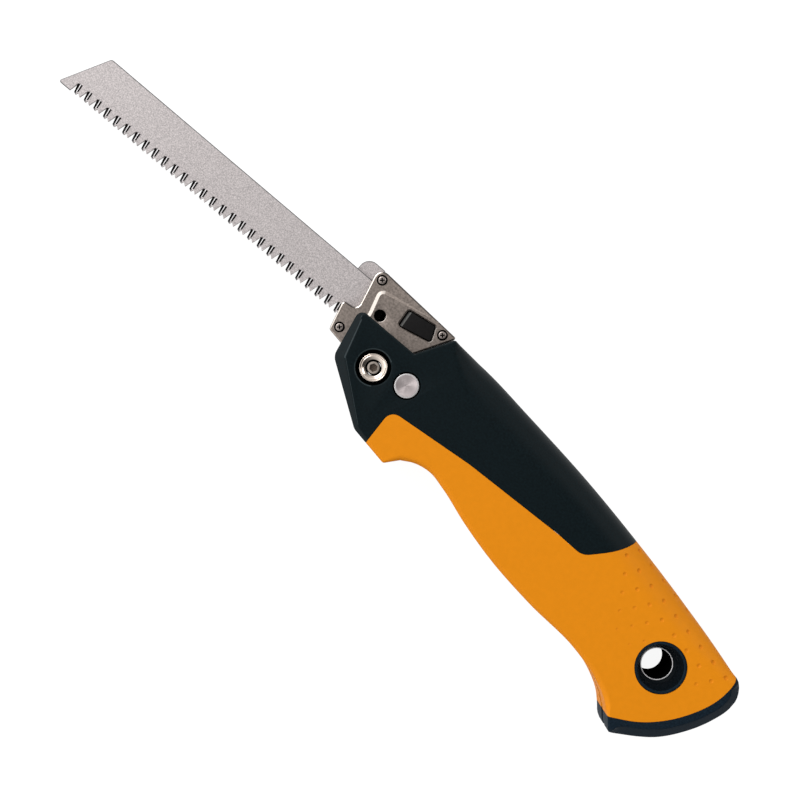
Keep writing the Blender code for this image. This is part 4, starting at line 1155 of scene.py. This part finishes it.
def holder_outline():
    """Outline of a holder plate: from its lobe round the pivot to the rear edge and the top."""
    top = Vector(SHOULDER_TOP)
    root = Vector(SHOULDER_ROOT)
    along = (top - root).normalized()
    away = Vector((-along.y, along.x)) * HOLDER_REAR_CLEAR
    root, top = root + away, top + away + along * HOLDER_TOP_OVER
    hidden = root - Vector((HOLDER_REAR_CLEAR, HOLDER_REAR_CLEAR))
    start = math.pi - math.asin(HOLDER_BOTTOM / TANG_RADIUS)
    end = 2 * math.pi + math.acos(hidden.x / TANG_RADIUS)
    round_part = []
    for part in range(TANG_STEPS + 1):
        angle = start + (end - start) * part / TANG_STEPS
        round_part.append((*on_circle((0, 0), TANG_RADIUS, angle), 0.0))
    corners = [
        (*HOLDER_LOBE_BOTTOM, HOLDER_LOBE_RADIUS),
        (HOLDER_BOTTOM_START, HOLDER_BOTTOM, HOLDER_TOP_RADIUS),
        *round_part,
        (*hidden, 0.0),
        (*root, 0.0),
        (*top, HOLDER_TOP_CORNER),
        (*HOLDER_TOP_FRONT, HOLDER_TOP_RADIUS),
        (*HOLDER_FRONT_NOTCH, HOLDER_NOTCH_RADIUS),
        (*HOLDER_LOBE_TOP, HOLDER_LOBE_RADIUS),
    ]
    return rounded(corners)


def rim_cutter(name, side):
    """Room above the holder's lower strip, with a slope up to the pad that fades out along the top."""
    around = [(RIM_END[0], FAR, 0.0), (-FAR, FAR, 0.0), (-FAR, -FAR, 0.0), (PAD_FRONT[0][0], -FAR, 0.0)]
    outline = rounded(around + PAD_FRONT + [(*RIM_END, 0.0)])
    foot = offset(outline, -PAD_SLOPE)
    foot[-1] = Vector(RIM_FADE)
    brow = offset(outline, PAD_SLOPE)
    rings = [level(foot, HOLDER_RIM), level(brow, HOLDER_HALF), level(brow, FAR)]
    made = tool(loft(name, rings))
    return made if side > 0 else mirror(made)


def window_outline(grow):
    return offset(rounded([(x, y, WINDOW_RADIUS) for x, y in WINDOW]), grow)


def window_middle():
    return sum((Vector(point) for point in WINDOW), Vector((0, 0))) / len(WINDOW)


def make_plate(node, side):
    """One die-cast half of the blade holder, with rounded edges and its openings."""
    blank = prism(f"{node}_blank", holder_outline(), *sorted((-side * HOLDER_BEVEL, side * HOLDER_HALF)))
    raised = carve(f"{node}_raised", blank, ("DIFFERENCE", rim_cutter(f"{node}_rim", side)))
    bevelled(raised, HOLDER_BEVEL)
    cutters = [tool(prism(f"{node}_half", square(FAR), *sorted((side * SPLIT, -side * FAR))))]
    cutters.append(tool(cylinder(f"{node}_bore", HOLDER_BORE, -FAR, FAR)))
    cutters.append(tool(prism(f"{node}_tang", TANG_ROOM, -TANG_ROOM_HALF, TANG_ROOM_HALF)))
    if side > 0:
        mouth = [(0, 0), (0, HOLDER_HALF - OPENING_BEVEL), (OPENING_BEVEL, HOLDER_HALF), (OPENING_BEVEL, FAR)]
        cutters.append(tool(loft("window", [level(window_outline(grow), height) for grow, height in mouth])))
        room_top = BUTTON_FLANGE_TOP + CLEAR
        cutters.append(tool(prism("flange_room", window_outline(FLANGE_ROOM), -SPLIT, room_top)))
        cutters.append(tool(flared("view_hole", VIEW_HOLE_RADIUS, 0, HOLDER_HALF, OPENING_BEVEL, VIEW_HOLE)))
        for number, (x, y, rise) in enumerate(HOLDER_SCREWS, 1):
            sizes = (SCREW_RING, SCREW_FLOOR + rise, FAR)
            cutters.append(tool(cylinder(f"screw_ring_{number}", *sizes, (x, y), SCREW_SIDES)))
    else:
        sizes = (SPRING_ROOM, SPRING_ROOM_LOW, FAR)
        cutters.append(tool(cylinder("spring_room", *sizes, window_middle(), SCREW_SIDES)))
        cutters.append(tool(prism("tab_room", offset(rounded(TAB), CLEAR), TAB_LOW - CLEAR, CLEAR)))
    made = carve(f"{node}_casting", raised, *cuts(*cutters))
    drop(blank, raised)
    dress(made, node, ["nickel_casting", "painted_recess_shade", "painted_front_highlight", "shaded_edge"], SMOOTH_BEVELLED)
    # Painted shade on steep and back-facing bevels, painted highlight on sloping bevels facing the front,
    # painted shade in the left plate's openings and on the right plate's inner face
    finish_faces(made, 3, is_dark_bevel)
    finish_faces(made, 2, lambda face: SLOPING < abs(face.normal.z) < FLAT and face.normal.x < TO_FRONT)
    finish_faces(made, 1, in_opening if side > 0 else lambda face: face.normal.z > NEARLY_FLAT)


def is_dark_bevel(face):
    """True for the steep bevels of a holder plate and those of its back, but not for the slope of its pad;
    these get a painted shade.
    """
    tilt = abs(face.normal.z)
    between = HOLDER_RIM + HOLDER_BEVEL / 6 < abs(face.center.z) < HOLDER_HALF - HOLDER_BEVEL / 3
    on_pad = between and tilt > SLOPING and face.center.y < SPINE_FROM
    dark = tilt < SLOPING or face.normal.y > TO_BACK
    return UPRIGHT < tilt < FLAT and not on_pad and dark


def in_opening(face):
    """True for the faces down in the left plate's screw rings, view hole and window, which get a painted
    shade.
    """
    if face.normal.z > OPENING_TILT and face.center.z > HOLDER_RIM - OPENING_TOP:
        return False
    place = face.center.xy
    rounds = [(Vector(row[:2]), SCREW_RING) for row in HOLDER_SCREWS]
    rounds.append((Vector(VIEW_HOLE), VIEW_HOLE_RADIUS))
    if any((place - centre).length < radius + OPENING_REACH for centre, radius in rounds):
        return True
    return inside_outline(place, window_outline(OPENING_REACH))


def inside_outline(place, outline):
    """True for a place on the left of every edge of an anticlockwise convex outline."""
    for index, point in enumerate(outline):
        along = point - outline[index - 1]
        if along.x * (place.y - point.y) - along.y * (place.x - point.x) < 0:
            return False
    return True


def make_release():
    """Black button with a bevelled front end, held by its flange, and a painted highlight on the front slope.
    """
    body = window_outline(-WINDOW_CLEAR)
    flange = tool(prism("button_flange", window_outline(BUTTON_FLANGE), BUTTON_LOW, BUTTON_FLANGE_TOP))
    post = prism("button_post", body, BUTTON_LOW + CLEAR, BUTTON_TOP)
    front = Vector(WINDOW[0]) - Vector(WINDOW[1])
    along = front.normalized()
    inward = Vector((along.y, -along.x))
    start = Vector(WINDOW[1])
    ends = (start - along * FAR, start + along * FAR)
    corner = [ends[0], ends[0] + inward * NICK_WIDE, ends[1] + inward * NICK_WIDE, ends[1]]
    foot = [point + inward * (NICK_LEDGE - NICK_WIDE) for point in corner]
    rings = [level(foot, BUTTON_TOP - NICK_DEPTH), level(corner, BUTTON_TOP), level(corner, FAR)]
    nick = tool(loft("button_nick", rings))
    made = carve("release_button_cap", post, ("DIFFERENCE", nick), ("UNION", flange))
    drop(post)
    dress(bevelled(made, BUTTON_BEVEL), "release_button", ["button_black", "button_slope_highlight"], SMOOTH_BEVELLED)
    slope = Vector((-inward.x, -inward.y, NICK_RISE))

    def on_slope(face):
        tilted = NICK_TILT[0] < face.normal.z < NICK_TILT[1]
        return tilted and face.normal.dot(slope) > NICK_FACING and face.area > NICK_AREA

    finish_faces(made, 1, on_slope)


def make_springs():
    """Finer coils for the two return springs."""
    lock_radius = LOCK_BORE_RADIUS - CLEAR - LOCK_WIRE / 2
    lock_row = (LOCK_AT, lock_radius, *LOCK_SPRING, LOCK_WIRE, LOCK_TURNS)
    release_row = (window_middle(), RELEASE_SPRING_RADIUS, *RELEASE_SPRING, RELEASE_WIRE, RELEASE_TURNS)
    rows = [("lock_spring", "lock_press", lock_row), ("release_spring", "release_press", release_row)]
    for node, joint, (at, radius, low, high, wire, turns) in rows:
        made = dress(coil(f"{node}_coil", at, radius, low, high, wire, turns), node, smooth=SMOOTH_COIL)
        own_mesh(made)


def make_tab():
    made = prism("thumb_tab_plate", rounded(TAB), TAB_LOW, TAB_HIGH)
    dress(bevelled(made, TAB_BEVEL, 1), "thumb_tab", ["blasted_steel", "painted_edge_shade"], SMOOTH_BEVELLED)
    # grey painted shade on the tab's bevelled edges
    finish_faces(made, 1, lambda face: abs(face.normal.z) < NEARLY_FLAT)


# One pair of teeth: run along the tooth line, rise from it and sink below the blade's left face
LEFT_FACE = {
    "gullet": (-0.00188, 0.00420, 0.0),
    "heel": (-0.00108, 0.00045, 0.00042),
    "tip": (0.0, 0.0, 0.00038),
    "notch": (0.00055, 0.00140, 0.0),
    "crown": (-0.00105, 0.00510, 0.0),
    "wall_top": (0.00032, 0.00478, 0.0),
    "wall_end": (0.00054, 0.00150, 0.0),
    "edge_top": (-0.00092, 0.00455, 0.00024),
    "edge_end": (-0.00040, 0.00085, 0.00030),
    "floor_top": (-0.00056, 0.00450, 0.00020),
    "floor_end": (-0.00012, 0.00120, 0.00024),
}
TOOTH_EDGE = ("gullet", "heel", "tip", "notch")
TOOTH_TOP = ("gullet", "crown", "wall_top", "wall_end", "notch")
SECOND_TIP = (0.00200, 0.00015)

# Facets of a tooth, each with the number of its finish: plain steel, or painted shade, painted highlight and
# grey painted shade on the ground facets
PLAIN, DEEP_SHADE, HIGHLIGHT, EDGE_SHADE = range(4)
LEFT_FACETS = [
    (("gullet", "heel", "edge_end", "edge_top"), DEEP_SHADE),
    (("gullet", "edge_top", "crown"), PLAIN),
    (("edge_top", "edge_end", "floor_end", "floor_top"), HIGHLIGHT),
    (("crown", "edge_top", "floor_top", "wall_top"), PLAIN),
    (("floor_top", "floor_end", "wall_end", "wall_top"), DEEP_SHADE),
    (("heel", "tip", "floor_end", "edge_end"), EDGE_SHADE),
    (("tip", "notch", "wall_end", "floor_end"), PLAIN),
]


def add_teeth(shape, upper, edge, lower):
    """Adds the teeth to the rings of the blade's left face, edge and right face, and gives their facets."""
    start = Vector(TOOTH_LINE_START)
    line = Vector(TOOTH_LINE_END) - start
    along = line.normalized()
    across = Vector((-along.y, along.x))
    count = int(line.length / TOOTH_PITCH)
    facets = []

    def spot(run, rise, height, number):
        place = start + along * (run + number * TOOTH_PITCH) + across * rise
        return shape.verts.new((place.x, place.y, height))

    for number in range(count + 1):
        marks = {}
        for key, (run, rise, sink) in LEFT_FACE.items():
            marks[key] = spot(run, rise, BLADE_HALF - sink, number)
        for keys, finish in LEFT_FACETS:
            facets.append(([marks[key] for key in keys], finish))
        upper += [marks[key] for key in TOOTH_TOP]
        edge += [marks[key] for key in TOOTH_EDGE]
        lower += [spot(*LEFT_FACE[key][:2], -BLADE_HALF, number) for key in TOOTH_EDGE]
        if number < count:
            second = spot(*SECOND_TIP, BLADE_HALF, number)
            upper.append(second)
            edge.append(second)
            lower.append(spot(*SECOND_TIP, -BLADE_HALF, number))
    return facets


def make_blade():
    """Blade whose alternate teeth are hollow ground on the left face, with painted shade and highlight on the
    ground facets, grey painted shade on its edge chamfer and painted shade on the tang under the holder.
    """
    shape = bmesh.new()
    nose = fillet(BLADE_TOP_CORNER, BLADE_NOSE, BLADE_NOSE_BOTTOM, BLADE_NOSE_RADIUS)
    corner = fillet(BLADE_SPINE_END, BLADE_TOP_CORNER, BLADE_NOSE, BLADE_TOP_RADIUS)
    fore = [Vector(point) for point in nose + [BLADE_NOSE_BOTTOM]]
    aft = [Vector(point) for point in TANG + [BLADE_SPINE_END] + corner]
    upper = [shape.verts.new((*point, BLADE_HALF)) for point in fore]
    edge = list(upper)
    lower = [shape.verts.new((*point, -BLADE_HALF)) for point in fore]
    facets = add_teeth(shape, upper, edge, lower)
    end = [shape.verts.new((*point, BLADE_HALF)) for point in aft]
    upper += end
    edge += end
    lower += [shape.verts.new((*point, -BLADE_HALF)) for point in aft]
    face = shape.faces.new(upper)
    shape.faces.new(lower[::-1])
    for index in range(len(edge)):
        after = (index + 1) % len(edge)
        shape.faces.new((lower[index], lower[after], edge[after], edge[index]))
    for corners, finish in facets:
        shape.faces.new(corners).material_index = finish
    plain = set(upper[: len(fore)] + upper[-len(corner) - 2 :])
    rim = [side for side in face.edges if plain.issuperset(side.verts)]
    shape.normal_update()
    # grey painted shade on the chamfer round the nose, the top corner and the spine
    bmesh.ops.bevel(shape, geom=rim, offset=BLADE_CHAMFER, segments=1, affect="EDGES", material=EDGE_SHADE)
    everything = shape.faces[:] + shape.edges[:] + shape.verts[:]
    bmesh.ops.bisect_plane(shape, geom=everything, plane_co=(TANG_SHADE_FROM, 0, 0), plane_no=(1, 0, 0))
    shape.normal_update()
    # painted shade on the tang's flat faces under the holder
    for flat in shape.faces:
        if flat.normal.z > NEARLY_FLAT and flat.calc_center_median().x > TANG_SHADE_FROM:
            flat.material_index = DEEP_SHADE
    made = solid("saw_blade_ground", shape)
    finishes = [face.material_index for face in made.data.polygons]
    dress(made, "saw_blade", ["blasted_steel", "painted_shade_steel", "painted_highlight_steel", "painted_edge_shade"], SMOOTH_BLADE)
    for face, finish in zip(made.data.polygons, finishes):
        face.material_index = finish


make_shell("left_shell", 1)
make_shell("right_shell", -1)
make_grip("left_grip", 1)
make_grip("right_grip", -1)
make_cap()
make_grommet("left_grommet", 1)
make_grommet("right_grommet", -1)
make_sleeve()
make_pivot()
make_lock()
make_screws()
make_plate("holder_left_plate", 1)
make_plate("holder_right_plate", -1)
make_release()
make_springs()
make_tab()
make_blade()
drop(*tools)
for node in ("pivot_bush", "left_washer", "right_washer", "lock_seat"):
    frame["nodes"][node].data.materials.clear()
    frame["nodes"][node].data.materials.append(MATERIALS[slot_of[node]])


def make_floor():
    """White floor that shows the saw's shadow."""
    shape = bmesh.new()
    bmesh.ops.create_grid(shape, x_segments=1, y_segments=1, size=FLOOR_SIZE)
    floor = solid("floor", shape)
    floor.location.z = -FLOOR_DROP
    nodes = Nodes("floor")
    nodes.tree.nodes.remove(nodes.shader)
    diffuse = nodes.add("ShaderNodeBsdfDiffuse")
    diffuse.inputs["Color"].default_value = (FLOOR_TONE, FLOOR_TONE, FLOOR_TONE, 1)
    glow = nodes.add("ShaderNodeEmission")
    glow.inputs["Strength"].default_value = FLOOR_GLOW
    path = nodes.add("ShaderNodeLightPath")
    shown = path.outputs["Is Camera Ray"]
    for ray in ("Is Glossy Ray", "Is Transmission Ray"):
        either = nodes.add("ShaderNodeMath", operation="MAXIMUM")
        nodes.wire(shown, either.inputs[0])
        nodes.wire(path.outputs[ray], either.inputs[1])
        shown = either.outputs["Value"]
    both = nodes.add("ShaderNodeAddShader")
    nodes.wire(diffuse.outputs["BSDF"], both.inputs[0])
    nodes.wire(glow.outputs["Emission"], both.inputs[1])
    mix = nodes.add("ShaderNodeMixShader")
    nodes.wire(shown, mix.inputs["Fac"])
    nodes.wire(diffuse.outputs["BSDF"], mix.inputs[1])
    nodes.wire(both.outputs["Shader"], mix.inputs[2])
    out = nodes.tree.nodes["Material Output"]
    nodes.wire(mix.outputs["Shader"], out.inputs["Surface"])
    floor.data.materials.append(nodes.material)


def make_light(name, place, power, size):
    """Square soft box that looks at the origin."""
    lamp = bpy.data.lights.new(name, "AREA")
    lamp.energy = power
    lamp.size = size
    made = link(bpy.data.objects.new(name, lamp))
    made.location = place
    made.rotation_euler = (-Vector(place)).to_track_quat("-Z", "Y").to_euler()


def make_world():
    """White surround that is bright to the left of the picture and dim overhead."""
    world = bpy.data.worlds.new("world")
    bpy.context.scene.world = world
    world.use_nodes = True
    tree = world.node_tree
    place = tree.nodes.new("ShaderNodeTexCoord")
    slope = tree.nodes.new("ShaderNodeVectorMath")
    slope.operation = "DOT_PRODUCT"
    slope.inputs[1].default_value = LEVEL_SLOPE
    level_here = tree.nodes.new("ShaderNodeMath")
    level_here.operation = "ADD"
    level_here.inputs[1].default_value = HORIZON_LEVEL
    back = tree.nodes["Background"]
    back.inputs["Color"].default_value = (1, 1, 1, 1)
    tree.links.new(place.outputs["Generated"], slope.inputs[0])
    tree.links.new(slope.outputs["Value"], level_here.inputs[0])
    tree.links.new(level_here.outputs["Value"], back.inputs["Strength"])


def make_camera():
    lens = bpy.data.cameras.new("photo_camera")
    lens.lens = CAMERA_LENS
    lens.sensor_width = CAMERA_SENSOR
    camera = link(bpy.data.objects.new("photo_camera", lens))
    camera.location = PIVOT + Vector(CAMERA_AT)
    camera.rotation_euler = (0, 0, math.radians(CAMERA_TURN))
    bpy.context.scene.camera = camera


make_floor()
make_world()
for lamp_row in LAMPS:
    make_light(*lamp_row)
make_camera()
bpy.context.scene.view_settings.view_transform = "Standard"
